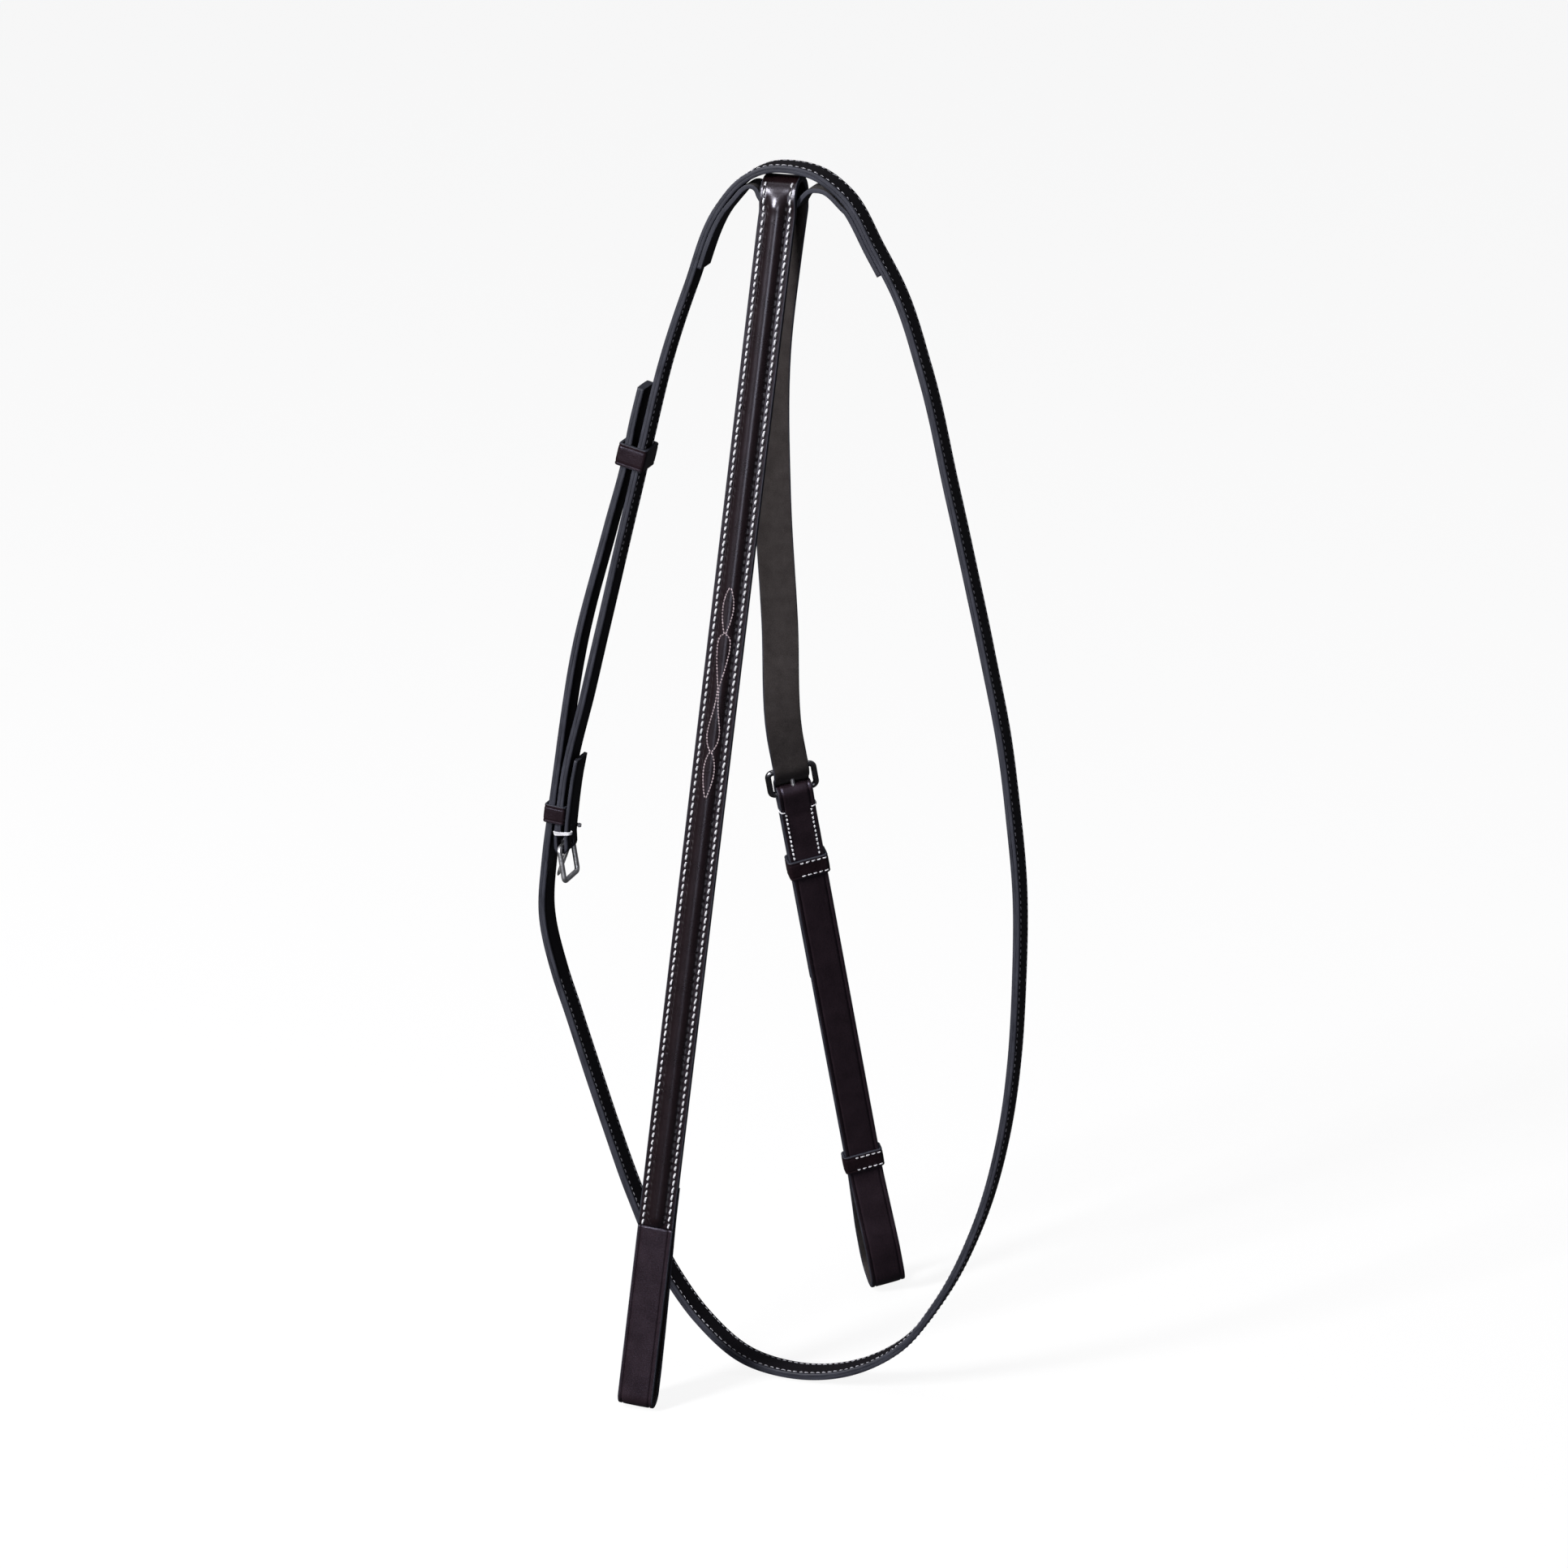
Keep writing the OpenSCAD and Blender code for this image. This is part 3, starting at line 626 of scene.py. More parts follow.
NECK_CREASE = 5.95          # from the middle of the strap to each crease
h = NECK_LAYER / 2
outer = neck_layer_mesh(
    "neck_strap_outer", outer_line,
    strap_profile(NECK_W, -h, h, r=0.75, r_low=0.18, creases=(NECK_CREASE,), crown=0.1, dip=0.24),
    [neck_leather, inked_edge_painted_light, lining_leather])
lining = neck_layer_mesh(
    "neck_strap_lining", lining_mid,
    strap_profile(NECK_W, -h, h, r=0.18, r_low=0.75, back_creases=(NECK_CREASE,), dip=0.24),
    [lining_leather, inked_edge_painted_light, lining_leather])
half_loop = SLOT_LOOP_T / 2
slot = neck_layer_mesh(
    "slot_loop", slot_line, strap_profile(NECK_W - 0.3, -half_loop, half_loop, r=0.3, r_low=0.45, crown=0.0),
    [flesh_leather, inked_edge_painted_light, neck_leather], step=0.9)


def box_cutter(size, place, turn, mat):
    """A rounded slot cutter, its long side up, in a girth or upright frame given by turn."""
    w, d, hgt = size
    r = min(w, hgt) / 2 - 0.02
    c = arc((0, hgt / 2 - r), r, 0, 180, 12)
    c2 = arc((0, -hgt / 2 + r), r, 180, 360, 12)
    ring = np.concatenate([c, c2])
    n = len(ring)
    verts = [(x, -d / 2, z) for x, z in ring] + [(x, d / 2, z) for x, z in ring]
    faces = [[i, (i + 1) % n, n + (i + 1) % n, n + i] for i in range(n)]
    faces += [list(range(n - 1, -1, -1)), list(range(n, 2 * n))]
    return make("cutter", turn(np.array(verts) + np.asarray(place, float)), faces, [mat],
                uv=np.zeros((sum(len(f) for f in faces), 2)))


def cylinder_cutter(r, d, place, turn, mat):
    return box_cutter((2 * r, d, 2 * r + 0.05), place, turn, mat)


def neck_slot_turn(v):
    """From a slot cutter's frame (through along y) to one that goes through along x."""
    v = np.asarray(v, float)
    return np.stack([v[:, 1], v[:, 0], v[:, 2]], 1) + np.array([NECK_BAR[0], 0, NECK_BAR[1]])


outer = cut(outer, [box_cutter((4.6, 14, 9.5), (0, 0, -1), neck_slot_turn, inked_edge_painted_light)])
ride(outer, "root", "grain_leather", "neck_strap_outer")
ride(lining, "root", "lining_leather", "neck_strap_lining")
ride(slot, "root", "lining_leather", "slot_loop")

# neck strap stitches: one row near each edge, on both faces, left out of the slack part
PITCH = 3.3
stitch_sets = []
sub = 12
last = sub * 36
for face, a, b in ((1, sub * 4, last), (-1, sub * 4, 3 * LOOP_FROM[0] - 3), (-1, 3 * LOOP_TO[1] + 4, last)):
    run = resample(upright(neck_fine[a:b]), 1.2)
    for side in (-1, 1):
        c, d, w, o = row(run, (0, 1, 0), PITCH, side * 5.95, face * (NECK_LAYER - 0.12))
        stitch_sets.append(stitches("s", c, d, w, o * face, 2.5, 0.32, dark_thread, slant=0.12, lift=0.2))
neck_stitching = join("neck_strap_stitching", stitch_sets)
ride(neck_stitching, "root", "dark_thread", "neck_strap_stitching")


# ---------------------------------------------------------------- keepers
def keeper(name, inner_x, inner_y, wall, high, turn, mats, crease=1.6, dip=0.16):
    """A closed leather band: rounded corners and creases near both edges."""
    hx, hy = inner_x / 2 + wall / 2, inner_y / 2 + wall / 2
    q = 1.3
    corner = [arc((hx - q, -hy + q), q, -90, 0, 6), arc((hx - q, hy - q), q, 0, 90, 6),
              arc((-hx + q, hy - q), q, 90, 180, 6), arc((-hx + q, -hy + q), q, 180, 270, 6)]
    ring = []
    for k in range(4):
        ring += list(corner[k])
        a, b = corner[k][-1], corner[(k + 1) % 4][0]
        m = max(2, int(np.linalg.norm(b - a) / 0.8))
        ring += [a + (b - a) * i / m for i in range(1, m)]
    ring = np.array(ring)
    bow = 0.12
    path = np.stack([ring[:, 0], ring[:, 1], np.zeros(len(ring))], 1)
    prof, tags = strap_profile(high, -wall / 2, wall / 2, r=0.42, r_low=0.2, creases=(high / 2 - crease,),
                               dip=dip,
                               crown=bow)
    obj = sweep(name, path, (0, 0, 1), prof, mats, tags, closed=True)
    co = np.array([v.co for v in obj.data.vertices]) / MM
    obj.data.vertices.foreach_set("co", (turn(co) * MM).astype(np.float32).ravel())
    obj.data.update()
    return obj


KEEPER_MATS = [keeper_leather, inked_edge_painted_light, flesh_leather]


def upright_turn(at, degrees):
    a = math.radians(degrees)
    r = np.array([[math.cos(a), 0, math.sin(a)], [0, 1, 0], [-math.sin(a), 0, math.cos(a)]])
    return lambda v: np.asarray(v, float) @ r.T + np.asarray(at, float)


fixed = keeper("neck_fixed_keeper", 4 * NECK_LAYER + 1.7, NECK_W + 0.3, KEEPER_T, 10,
               upright_turn((-123.2, 0, -354), 7), KEEPER_MATS)
ride(fixed, "root", "keeper_leather", "neck_fixed_keeper")
runner = keeper("neck_runner_keeper", 12.6, NECK_W + 0.8, KEEPER_T + 0.4, 12,
                upright_turn((-79.1, 0, -157.5), 13.8), KEEPER_MATS)
ride(runner, "neck_runner", "keeper_leather", "neck_runner_keeper")


# ---------------------------------------------------------------- neck buckle
def rounded_ring(w, l, r):
    """The line of a bent wire frame: w across, from 0 down to -l, corners of radius r."""
    h = w / 2
    pts = np.concatenate([arc((h - r, -r), r, 90, 0, 8), arc((h - r, -l + r), r, 0, -90, 8),
                          arc((-h + r, -l + r), r, -90, -180, 8), arc((-h + r, -r), r, 180, 90, 8)])
    out = []
    for i in range(len(pts)):
        a, b = pts[i], pts[(i + 1) % len(pts)]
        m = max(1, int(np.linalg.norm(b - a) / 1.0))
        out += [a + (b - a) * k / m for k in range(m)]
    return np.array(out)


frame_ring = rounded_ring(NECK_W + 4.2, 18, 2.2)
turn = upright_turn((NECK_BAR[0], 0, NECK_BAR[1]), -9)
neck_frame = tube("neck_buckle_frame",
                  turn(np.stack([0 * frame_ring[:, 0], frame_ring[:, 0], frame_ring[:, 1]], 1)),
                  NECK_WIRE, [bright_steel], closed=True, sides=16, up=(1, 0, 0))
ride(neck_frame, "neck_buckle", "steel", "neck_buckle_frame")


def tongue_mesh(name, bar_r, r, length, turn, mat, lean=0.0):
    """A buckle tongue: an eye bent round the bar, a shank that swells a little, a blunt tip."""
    eye = bar_r + 0.08 + 0.85
    a = np.radians(np.linspace(-60, 250, 26))
    eye_path = np.stack([np.zeros(26), np.sin(a) * eye * -1, np.cos(a) * eye * -1], 1)
    top = eye_path[-1]
    shank = np.stack([np.zeros(14), np.linspace(top[1], lean, 14), np.linspace(top[2], -length, 14)], 1)
    path = np.concatenate([eye_path, shank[1:]])
    path = resample(path, 0.6)
    s = np.linspace(0, 1, len(path))
    rad = np.interp(s, [0, 0.05, 0.35, 0.6, 0.9, 0.97, 1], [0.7, 0.85, 0.9, r, r * 0.92, r * 0.7, 0.15])
    return tube(name, turn(path), rad, [mat], sides=14, up=(1, 0, 0))


neck_tongue_turn = upright_turn((NECK_BAR[0], 0, NECK_BAR[1]), 14)


def swap_xy(turn):
    """The tongue's own frame has its bar along X; here the bar lies along Y."""
    return lambda v: turn(np.stack([np.asarray(v)[:, 1], np.asarray(v)[:, 0], np.asarray(v)[:, 2]], 1))


neck_tongue = tongue_mesh("neck_buckle_tongue", NECK_WIRE, 1.1, 19, swap_xy(neck_tongue_turn),
                          bright_steel)
ride(neck_tongue, "neck_tongue", "steel", "neck_buckle_tongue")

# the whip stitch that closes the turned leather above the buckle
whips = []
for side in (-1, 1):
    for k, dz in enumerate((-0.55, 0.1, 0.75)):
        y = side * (NECK_W / 2 + 0.25)
        x0, x1 = -123.2 - 0.15 * k, -114.6 + 0.1 * k
        z0, z1 = -364.6 + dz, -364.0 + dz * 0.8
        path = smooth([(x0 + 0.4, y - side * 2.4, z0 + 0.2), (x0 - 0.35, y - side * 1.2, z0),
                       (x0 + 0.5, y, z0),
                       ((x0 + x1) / 2, y + side * 0.1, (z0 + z1) / 2 - 0.15), (x1 - 0.5, y, z1),
                       (x1 + 0.35, y - side * 1.2, z1), (x1 - 0.4, y - side * 2.4, z1 + 0.2)], 6)
        whips.append(tube("w", path, 0.45, [white_thread], sides=8))
whip = join("neck_chape_stitch", whips)
ride(whip, "root", "white_thread", "neck_chape_stitch")


# ---------------------------------------------------------------- body strap, front leg
def dome_height(u, z):
    """Outer surface of the face leather over the filler, for a place across and down the leg."""
    flange = ARCH_T / 2
    base = flange + RAISED_H - DOME_R
    past = np.maximum(0.0, -(z + PADDED_END - DOME_R))
    ball = DOME_R ** 2 - u ** 2 - past ** 2
    top = np.where(ball > 0, base + np.sqrt(np.maximum(ball, 0)), base - np.sqrt(np.maximum(-ball, 0)))
    grow = np.clip((11.0 - z) / 9.0, 0, 1)
    grow = grow * grow * (3 - 2 * grow)
    top = flange + (top - flange) * grow
    fillet = 0.55
    return (top + flange + np.sqrt((top - flange) ** 2 + fillet ** 2)) / 2 - fillet / 2


arch = np.array([(0.0, LEG_Y * math.cos(a), LEG_Y * math.sin(a))
                 for a in np.radians(np.linspace(0, 180, 25))])
arch += np.array([SLOT_X, 0, ARCH_Z])
arch = np.concatenate([[(SLOT_X, LEG_Y, ARCH_Z - 3.2)], arch])
leg_points = front([(0, 0, z) for z in (-6, -12, -24, -60, -150, -300, -450, -PADDED_END)])
into_leg = smooth(np.concatenate([arch[-1:], [[SLOT_X, -LEG_Y, LEG_Z]], leg_points]), 10)
front_path = np.concatenate([arch[:-1], into_leg])
front_w = unit(front([(1, 0, 0)]) - front([(0, 0, 0)]))[0]
share = np.clip((ARCH_Z - front_path[:, 2]) / 12.0, 0, 1) * (front_path[:, 1] < 0)
front_across = (1 - share)[:, None] * np.array([1.0, 0, 0]) + share[:, None] * front_w
front_path, front_across = resample(front_path, 1.3, front_across)
# distance down the leg from its hinge line, as the CAD's local z
arch_share = np.concatenate([[0], np.cumsum(np.linalg.norm(np.diff(front_path, axis=0), axis=1))])
leg_z = -(arch_share - (arch_share[-1] - PADDED_END))

BACK_V = -ARCH_T / 2
JOIN_V = ARCH_T / 2 - FACE_T
STITCH_U = 6.95
prof, tags = strap_profile(BODY_W, BACK_V, JOIN_V, r=0.15, r_low=0.55, back_creases=(STITCH_U,), dip=0.22)
backing = sweep("body_strap_backing", front_path, front_across, prof,
                [lining_leather, inked_edge_painted_light, lining_leather],
                tags)
face_prof, face_tags = strap_profile(BODY_W, JOIN_V, ARCH_T / 2, r=0.55, r_low=0.15)
top_side = [i for i, q in enumerate(face_prof) if abs(q[1] - ARCH_T / 2) < 1e-6]
first, last = top_side[0], top_side[-1]
half_w = BODY_W / 2 - 0.55
us = np.concatenate([np.linspace(half_w, 5.9, 10)[:-1], np.linspace(5.9, -5.9, 45),
                     np.linspace(-5.9, -half_w, 10)[1:]])
face_u = np.concatenate([face_prof[:first, 0], us, face_prof[last + 1:, 0]])
face_v = np.concatenate([face_prof[:first, 1], np.full(len(us), np.nan), face_prof[last + 1:, 1]])
face_tags = face_tags[:first] + [FACE] * (len(us) - 1) + [EDGE] + face_tags[last + 1:]
grid_u = np.broadcast_to(face_u, (len(front_path), len(face_u)))
height = dome_height(grid_u, leg_z[:, None])
channel = 0.26 * np.exp(-((np.abs(grid_u) - STITCH_U) / 0.42) ** 2) * (leg_z[:, None] < 15)
height = np.where(np.isnan(face_v)[None], height - channel, face_v[None])
face_profile = np.stack([grid_u, height], -1)
face = sweep("body_strap_face", front_path, front_across, face_profile,
             [raised_leather, inked_edge_painted_light, lining_leather],
             face_tags)
bends(backing, "lining_leather", "front_leg", "body_strap_backing", "body_strap_fold")
bends(face, "raised_leather", "front_leg", "body_strap_face")

# two rows of white stitches beside the raised centre
start = arch_share[-1] - PADDED_END - 15.0
sets = []
for side in (-1, 1):
    c, d, w, o = row(front_path, front_across, 3.95, side * STITCH_U, ARCH_T / 2 - 0.12, start=start,
                     end=arch_share[-1] - 1.5)
    sets.append(stitches("s", c, d, w, o, 3.0, 0.54, white_thread, slant=-0.16, lift=0.34))
    c, d, w, o = row(front_path, front_across, 3.95, side * STITCH_U, BACK_V + 0.12, start=start,
                     end=arch_share[-1] - 1.5)
    sets.append(stitches("s", c, d, w, -o, 2.9, 0.42, white_thread, slant=0.16, lift=0.2))
edge_stitching = join("front_edge_stitching", sets)
bends(edge_stitching, "white_thread", "front_leg", "front_edge_stitching")

# fancy stitching: four leaves, each with its own length and its widest place
LEAVES = [(0.0, 0.22, 0.45, 2.5), (0.22, 0.47, 0.24, 3.0), (0.47, 0.78, 0.74, 2.9), (0.78, 1.0, 0.42, 2.5)]
fancy_c, fancy_d, fancy_o = [], [], []
dz = 1.7
for a, b, widest, wide in LEAVES:
    z0, z1 = FANCY_TOP - FANCY_LENGTH * a, FANCY_TOP - FANCY_LENGTH * b
    power = math.log(0.5) / math.log(widest)
    for side in (-1, 1):
        t = np.linspace(0, 1, 60)
        u = side * wide * np.sin(np.pi * t ** power) ** 0.9 + side * 0.28
        z = z0 + (z1 - z0) * t
        line = np.stack([u, z, dome_height(u, z)], 1)
        line = resample(line, dz)
        u, z, v = line.T
        c = np.stack([u, -v + 0.05, z], 1)
        d = np.gradient(c, axis=0)
        slope = (dome_height(u + 0.05, z) - dome_height(u - 0.05, z)) / 0.1
        o = unit(np.stack([-slope, -np.ones_like(u), np.zeros_like(u)], 1))
        mid = (c[:-1] + c[1:]) / 2
        fancy_c.append(mid)
        fancy_d.append(c[1:] - c[:-1])
        fancy_o.append((o[:-1] + o[1:]) / 2)
fc, fd, fo = np.concatenate(fancy_c), np.concatenate(fancy_d), np.concatenate(fancy_o)
rot = front(np.eye(3)) - front(np.zeros((3, 3)))
fancy = stitches("front_fancy_stitching", front(fc), fd @ rot, np.cross(fo, fd) @ rot, fo @ rot, 1.5, 0.34,
                 fancy_thread, lift=0.15, slant=0.1)
ride(fancy, "front_leg", "fancy_thread", "front_fancy_stitching")

# noseband loop
front_y, back_y = -ARCH_T / 2 + STRAP_T / 2, -ARCH_T / 2 + LOOP_DEPTH - STRAP_T / 2
low = -FRONT_LENGTH + STRAP_T / 2
turn_r = (back_y - front_y) / 2
seam_y = ARCH_T / 2 + STRAP_T / 2 + 0.05
top = -PADDED_END
loop = np.concatenate([
    [(front_y, top), (front_y, low + turn_r + 20)],
    arc((front_y + turn_r, low + turn_r), turn_r, 180, 360, 24),
    smooth([(back_y, low + turn_r + 12), (back_y - 1.5, low + 42), (seam_y + 2.2, top - 14),
            (seam_y + 0.3, top + 4), (seam_y, top + 14), (seam_y, top + 22)], 8)])
loop = resample(loop, 1.2)
loop_path = front(np.stack([np.zeros(len(loop)), loop[:, 0], loop[:, 1]], 1))
prof, tags = strap_profile(BODY_W, -STRAP_T / 2, STRAP_T / 2, r=0.6, creases=(7.3,), dip=0.55, crown=0.2)
nose_loop = sweep("noseband_loop", loop_path, front_w, prof, [grain_leather, inked_edge_painted_light, flesh_leather], tags)
ride(nose_loop, "front_leg", "grain_leather", "noseband_loop")
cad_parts["body_strap_filler"].data.materials.clear()
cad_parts["body_strap_filler"].data.materials.append(
    thread("filler_core", (0.1, 0.1, 0.1), (0.2, 0.2, 0.2)))

# ---------------------------------------------------------------- rear leg
over_bar = -GIRTH_WIRE - 0.35 - STRAP_T / 2
past_fold = GIRTH_WIRE + 0.2 + STRAP_T * 1.5 + 0.25
through = [(over_bar, 30), (over_bar, 15), (over_bar, BAR_Z + 0.4), (-0.5, 2), (3.7, -2.2),
           (past_fold, -BAR_Z + 0.2), (past_fold, -BAR_Z - 2.4), (TAIL_Y + 0.2, -20), (TAIL_Y,
                                                                                       -32), (TAIL_Y, -80),
           (TAIL_Y, TAIL_END)]
rear_route = [(SLOT_X, LEG_Y, LEG_Z - 1.5), (-3.6, 11.6, -50), (-10.6, 15.5, -100), (-13.6, 24, -180),
              (-12, 31, -250)]
rear_turn = [0, 2, 6, 14, 22]
girth_points = girth([(0, y, z) for y, z in through])
girth_w = unit(girth([(1, 0, 0)]) - girth([(0, 0, 0)]))[0]
rear_line = smooth(np.concatenate([rear_route, girth_points]), 8)
key_w = np.array([(math.cos(math.radians(a)), math.sin(math.radians(a)), 0) for a in rear_turn]
                 + [girth_w] * len(through))
at = np.arange(len(rear_line)) / 8
rear_w = np.stack([np.interp(at, np.arange(len(key_w)), key_w[:, k]) for k in range(3)], 1)
lead = np.array([(SLOT_X, LEG_Y, ARCH_Z - 3.0), (SLOT_X, LEG_Y, ARCH_Z - 5.0)])
rear_line = np.concatenate([lead, rear_line])
rear_w = np.concatenate([[key_w[0]] * 2, rear_w])
rear_line, rear_w = resample(rear_line, 1.5, rear_w)
prof, tags = strap_profile(BODY_W, -STRAP_T / 2, STRAP_T / 2, r=0.45, back_creases=(7.4,), dip=0.2)
rear = sweep("rear_leg_strap", rear_line, rear_w, prof, [flesh_leather, inked_edge_painted_light, grain_leather], tags)
hole_walls = edge_paint("punched_hole", (0.004, 0.0035, 0.0035), (0.008, 0.007, 0.007))
rear_cutters = [box_cutter((3.6, 14, 13.5), (0, 2.2, -0.6), girth, hole_walls)]
rear_cutters += [cylinder_cutter(1.8, 40, (0, 0, k * HOLE_PITCH), girth, hole_walls)
                 for k in (1, 2, -2, -3, -4)]
rear = cut(rear, rear_cutters)
bends(rear, "flesh_leather", "rear_leg", "rear_leg_strap")

# ---------------------------------------------------------------- girth strap
half = STRAP_T / 2
mid_y = half + 0.05
fold_mid = GIRTH_WIRE + 0.2 + half
wide = GIRTH_DEPTH / 2 - half
loop_top = -GIRTH_LENGTH + GIRTH_LOOP
tr = 8.0
low = -GIRTH_LENGTH + half
near = [(-mid_y, loop_top + 8), (-mid_y - 0.15, loop_top), (-wide * 0.5, loop_top - 22),
        (-wide, low + tr + 14),
        (-tr - 1, low + 4.5)]
far = [(tr + 1, low + 4.5), (wide, low + tr + 14), (wide * 0.5, loop_top - 22), (mid_y + 0.15, loop_top),
       (mid_y, loop_top + 8)]
girth_line = np.concatenate([
    [(mid_y, FIXED_KEEPER_Z + 0.3), (mid_y, -21)],
    arc((0, -BAR_Z), fold_mid, 0, 180, 24),
    [(-mid_y, -21)],
    smooth(near + [(0, low)] + far, 10),
    [(mid_y, FIXED_KEEPER_Z - 0.3)]])
girth_line = resample(girth_line, 1.2)
path = girth(np.stack([np.zeros(len(girth_line)), girth_line[:, 0], girth_line[:, 1]], 1))
prof, tags = strap_profile(BODY_W, -half, half, r=0.5, creases=(7.3,), dip=0.5, crown=0.16)
girth_strap = sweep("girth_strap", path, girth_w, prof, [grain_leather, inked_edge_painted_light, flesh_leather], tags)
girth_strap = cut(girth_strap, [box_cutter((4.6, 14, 13), (0, 0, -BAR_Z + 1.5), girth, hole_walls)])
ride(girth_strap, "rear_leg", "grain_leather", "girth_strap")

# girth buckle
ring = rounded_ring(2 * SIDE_X, 2 * BAR_Z, 2.6)
wire = girth(np.stack([ring[:, 0], 0 * ring[:, 0], ring[:, 1] + BAR_Z], 1))
# the frame's darkness is painted reflection
girth_frame = tube("girth_buckle_frame", wire, GIRTH_WIRE, [steel_painted_dark_reflection], closed=True, sides=18)
ride(girth_frame, "rear_leg", "steel", "girth_buckle_frame")


def girth_tongue_turn(v):
    """The tongue's own frame hangs down from its bar; here it stands up from the lower bar."""
    v = np.asarray(v, float)
    return girth(np.stack([v[:, 0], -v[:, 1], -v[:, 2]], 1) + np.array([0, 0, -BAR_Z]))


girth_tongue = tongue_mesh("girth_buckle_tongue", GIRTH_WIRE, 1.2, 2 * BAR_Z + 2, girth_tongue_turn,
                           bright_steel, lean=-3.0)
ride(girth_tongue, "girth_tongue", "steel", "girth_buckle_tongue")

depth = 3 * STRAP_T + 0.75
girth_keep_y = depth / 2 - STRAP_T - 0.3
fixed2 = keeper("girth_fixed_keeper", BODY_W + 0.6, depth, KEEPER_T, GIRTH_KEEPER_H,
                lambda v: girth(np.asarray(v) + np.array([0, girth_keep_y, FIXED_KEEPER_Z])), KEEPER_MATS)
ride(fixed2, "rear_leg", "keeper_leather", "girth_fixed_keeper")
runner2 = keeper("girth_runner_keeper", BODY_W + 0.6, 2 * STRAP_T + 0.6, KEEPER_T, GIRTH_KEEPER_H,
                 lambda v: girth(np.asarray(v) + np.array([0, 0, GIRTH_RUNNER_Z])), KEEPER_MATS)
ride(runner2, "girth_runner", "keeper_leather", "girth_runner_keeper")

rot_g = girth(np.eye(3)) - girth(np.zeros((3, 3)))


def girth_stitches(name, places, direction, out, length, radius):
    c = np.array(places, float)
    n = len(c)
    d = np.broadcast_to(np.asarray(direction, float), (n, 3))
    o = np.broadcast_to(np.asarray(out, float), (n, 3))
    s = np.cross(o, d)
    return stitches(name, girth(c), d @ rot_g, s @ rot_g, o @ rot_g, length, radius, white_thread,
                    lift=0.3, slant=0.06)


face_y = -2 * half - 0.05
places = [(side * (BODY_W / 2 - 2.6), face_y + 0.12, z) for side in (-1, 1)
          for z in np.arange(-19.5, FIXED_KEEPER_Z + GIRTH_KEEPER_H / 2 + 1, -2.75)]
chape_rows = girth_stitches("rows", places, (0, 0, 1), (0, -1, 0), 1.9, 0.52)
tops = []
for side in (-1, 1):
    x = side * (BODY_W / 2 - 2.6)
    edge = side * (BODY_W / 2 + 0.35)
    pts = smooth([(x, face_y + 0.5, -17.8), (x + side * 0.6, face_y - 0.35, -17.6),
                  (edge - side * 0.5, face_y - 0.2, -17.1),
                  (edge, face_y + 1.0, -16.8), (edge, face_y + 3.6, -16.7)], 5)
    tops.append(tube("t", girth(pts), 0.45, [white_thread], sides=8))
chape = join("girth_chape_stitching", [chape_rows] + tops)
ride(chape, "rear_leg", "white_thread", "girth_chape_stitching")
for name, body, z, y in (("girth_fixed_keeper_stitching", "rear_leg", FIXED_KEEPER_Z,
                          -STRAP_T - 0.3 - KEEPER_T),
                         ("girth_runner_stitching", "girth_runner", GIRTH_RUNNER_Z,
                          -STRAP_T - 0.3 - KEEPER_T)):
    places = [(x, y + 0.02, z + side * (GIRTH_KEEPER_H / 2 - 1.6)) for side in (-1, 1)
              for x in np.arange(-3.6, 9.0, 3.1)]
    dashes = girth_stitches(name, places, (1, 0, 0), (0, -1, 0), 2.3, 0.38)
    ride(dashes, body, "white_thread", name)

# ---------------------------------------------------------------- camera, floor and light
scene = bpy.context.scene
look_at = Vector((0.0004, 0.0, -0.3278))
azimuth, elevation, distance = math.radians(18.0), math.radians(17.5), 3.5
back = Vector((math.sin(azimuth) * math.cos(elevation), -math.cos(azimuth) * math.cos(elevation),
               math.sin(elevation)))
camera = bpy.data.objects.new("camera", bpy.data.cameras.new("camera"))
scene.collection.objects.link(camera)
camera.location = look_at + back * distance
camera.rotation_mode = "QUATERNION"
camera.rotation_quaternion = (-back).to_track_quat("-Z", "Y")
camera.data.lens, camera.data.sensor_width = 155.3, 36.0
camera.data.clip_start, camera.data.clip_end = 0.05, 60.0
scene.camera = camera

def backdrop(name, mesh, emission, albedo):
    """A pale stage piece that the camera sees and that doesn't light the object."""
    obj = bpy.data.objects.new(name, mesh)
    scene.collection.objects.link(obj)
    m, nt, b = nodes_of(name)
    b.inputs["Base Color"].default_value = (albedo, albedo, albedo, 1)
    b.inputs["Roughness"].default_value = 0.9
    b.inputs["Specular IOR Level"].default_value = 0.0
    b.inputs["Emission Color"].default_value = (1.0, 1.0, 1.0, 1)
    b.inputs["Emission Strength"].default_value = emission
    mesh.materials.append(m)
    obj.visible_glossy = False
    obj.visible_diffuse = False
    return obj


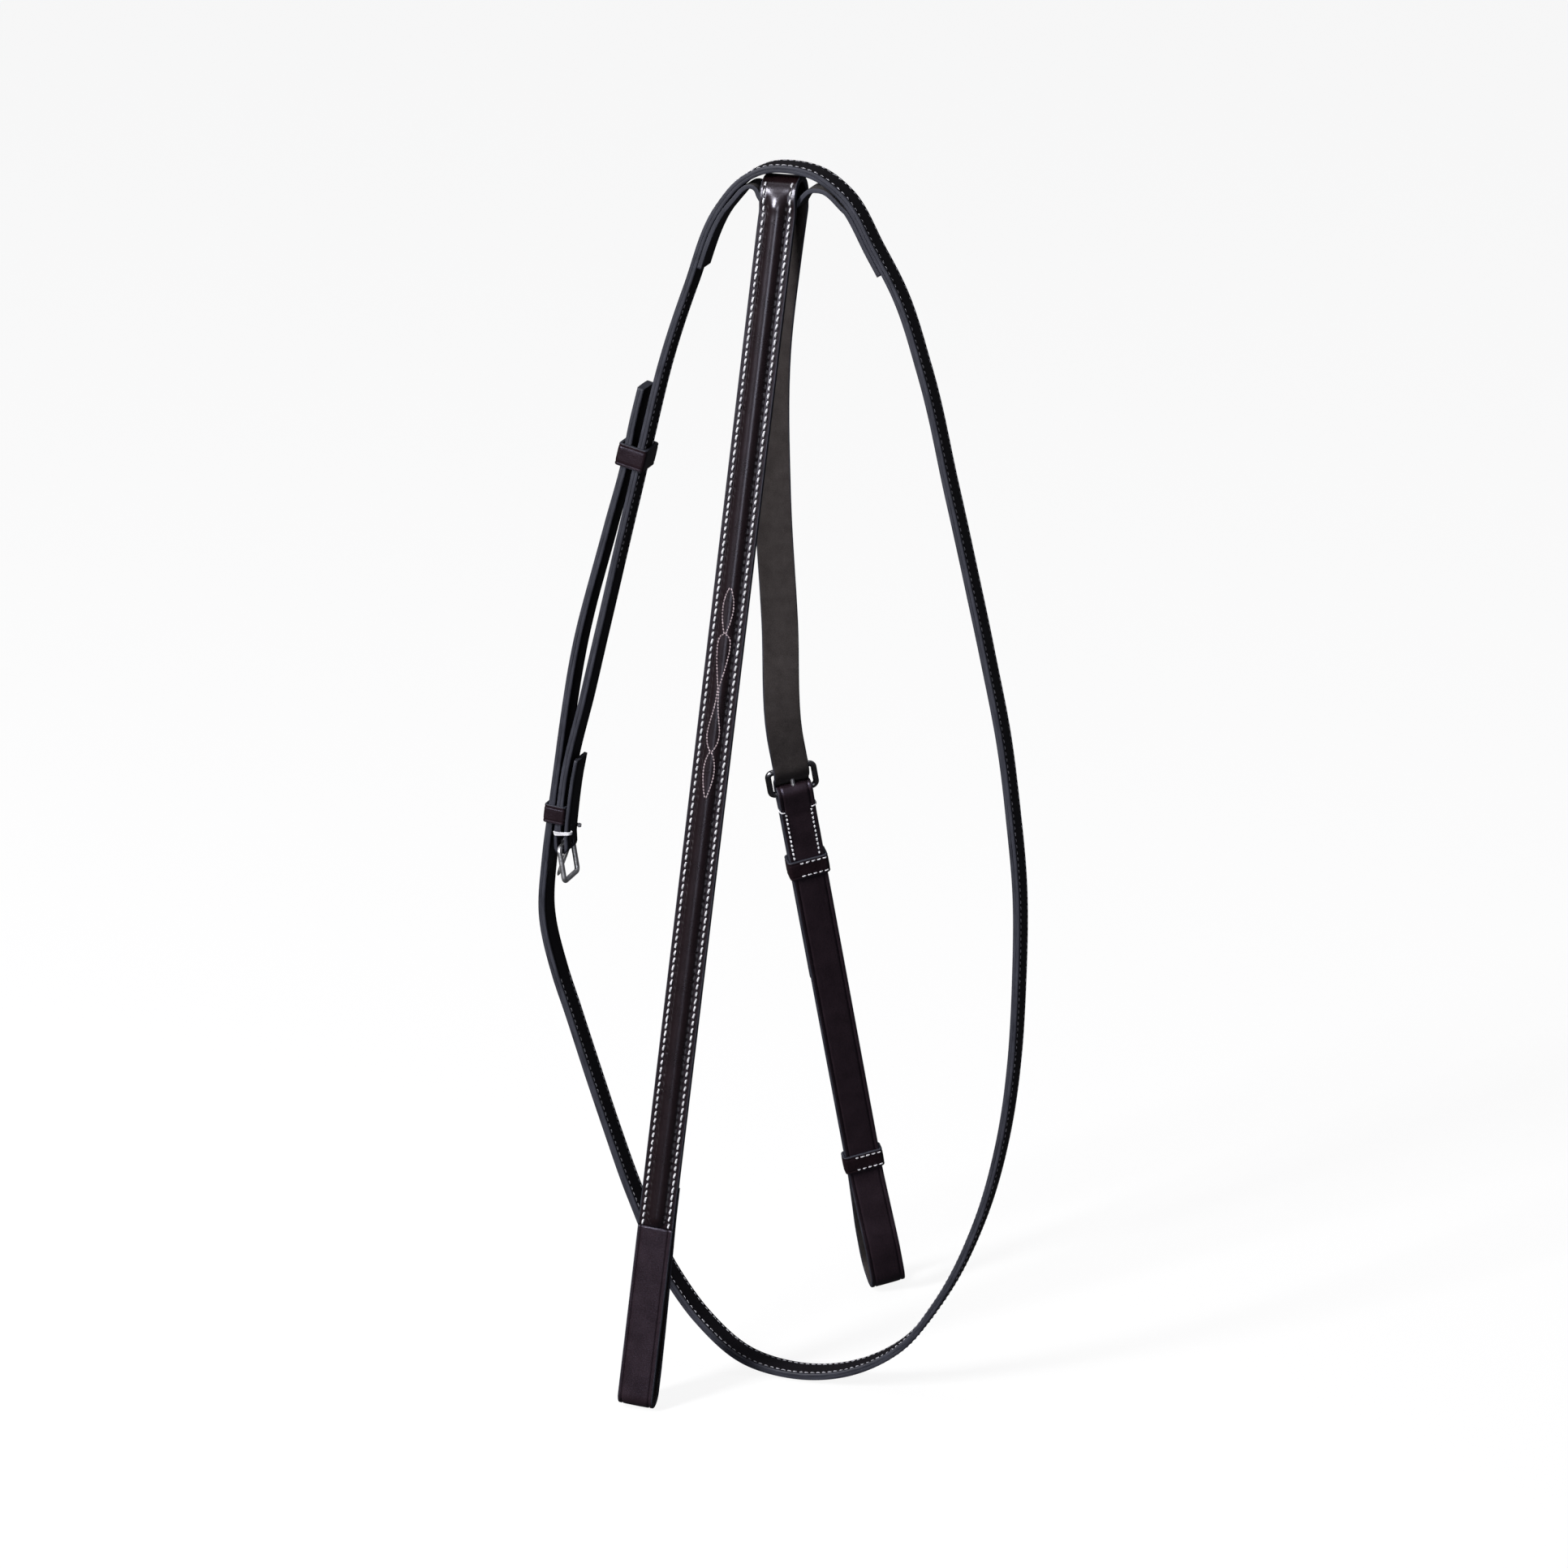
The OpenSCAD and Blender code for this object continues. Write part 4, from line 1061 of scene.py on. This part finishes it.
FLOOR_Z = -0.6575
floor_mesh = bpy.data.meshes.new("floor")
R = 12.0
floor_mesh.from_pydata([(-R, -R, FLOOR_Z), (R, -R, FLOOR_Z), (R, R, FLOOR_Z), (-R, R, FLOOR_Z)], [],
                       [[0, 1, 2, 3]])
backdrop("pale_floor", floor_mesh, 0.90, 0.12)
wall_mesh = bpy.data.meshes.new("pale_wall")
WALL_R, WALL_SIDES, WALL_LOW, WALL_TOP = 14, 64, -2, 16
ring = [(WALL_R * math.cos(a), WALL_R * math.sin(a))
        for a in np.linspace(0, 2 * math.pi, WALL_SIDES, endpoint=False)]
wall_mesh.from_pydata([(x, y, WALL_LOW) for x, y in ring] + [(x, y, WALL_TOP) for x, y in ring], [],
                      [[i, (i + 1) % WALL_SIDES, WALL_SIDES + (i + 1) % WALL_SIDES, WALL_SIDES + i]
                       for i in range(WALL_SIDES)] + [list(range(WALL_SIDES, 2 * WALL_SIDES))])
wall = backdrop("pale_wall", wall_mesh, 1.0, 0.0)
wall.visible_shadow = False

world = bpy.data.worlds.new("studio")
scene.world = world
world.use_nodes = True
wt = world.node_tree
bg = wt.nodes["Background"]
co = node(wt, "ShaderNodeTexCoord")
sep = node(wt, "ShaderNodeSeparateXYZ")
wt.links.new(co.outputs["Generated"], sep.inputs["Vector"])
wt.links.new(ramp(wt, span(wt, sep.outputs["Z"], 0, 1, -0.3, 0.9),
                  [(0.0, (0.25, 0.25, 0.27)), (1.0, (0.9, 0.9, 1.0))]),
             bg.inputs["Color"])
bg.inputs["Strength"].default_value = 0.16


def area_light(name, at, target, size, power, color=(1, 1, 1), size_y=None):
    data = bpy.data.lights.new(name, "AREA")
    data.energy, data.color = power, color
    data.shape, data.size = "RECTANGLE", size
    data.size_y = size if size_y is None else size_y
    light = bpy.data.objects.new(name, data)
    light.location = at
    light.rotation_mode = "QUATERNION"
    light.rotation_quaternion = (Vector(target) - Vector(at)).to_track_quat("-Z", "Y")
    scene.collection.objects.link(light)
    return light


area_light("key", (-1.3, -2.2, 1.3), (0, 0, -0.35), 0.45, 125, (1, 0.99, 1.0), size_y=1.6)
area_light("front", (0.5, -3.6, 0.2), (0, 0, -0.35), 0.7, 20, (0.9, 0.92, 1), size_y=1.6)
area_light("top", (-0.2, 0.1, 2.2), (0, 0, -0.3), 1.0, 8)

scene.view_settings.view_transform = "Standard"
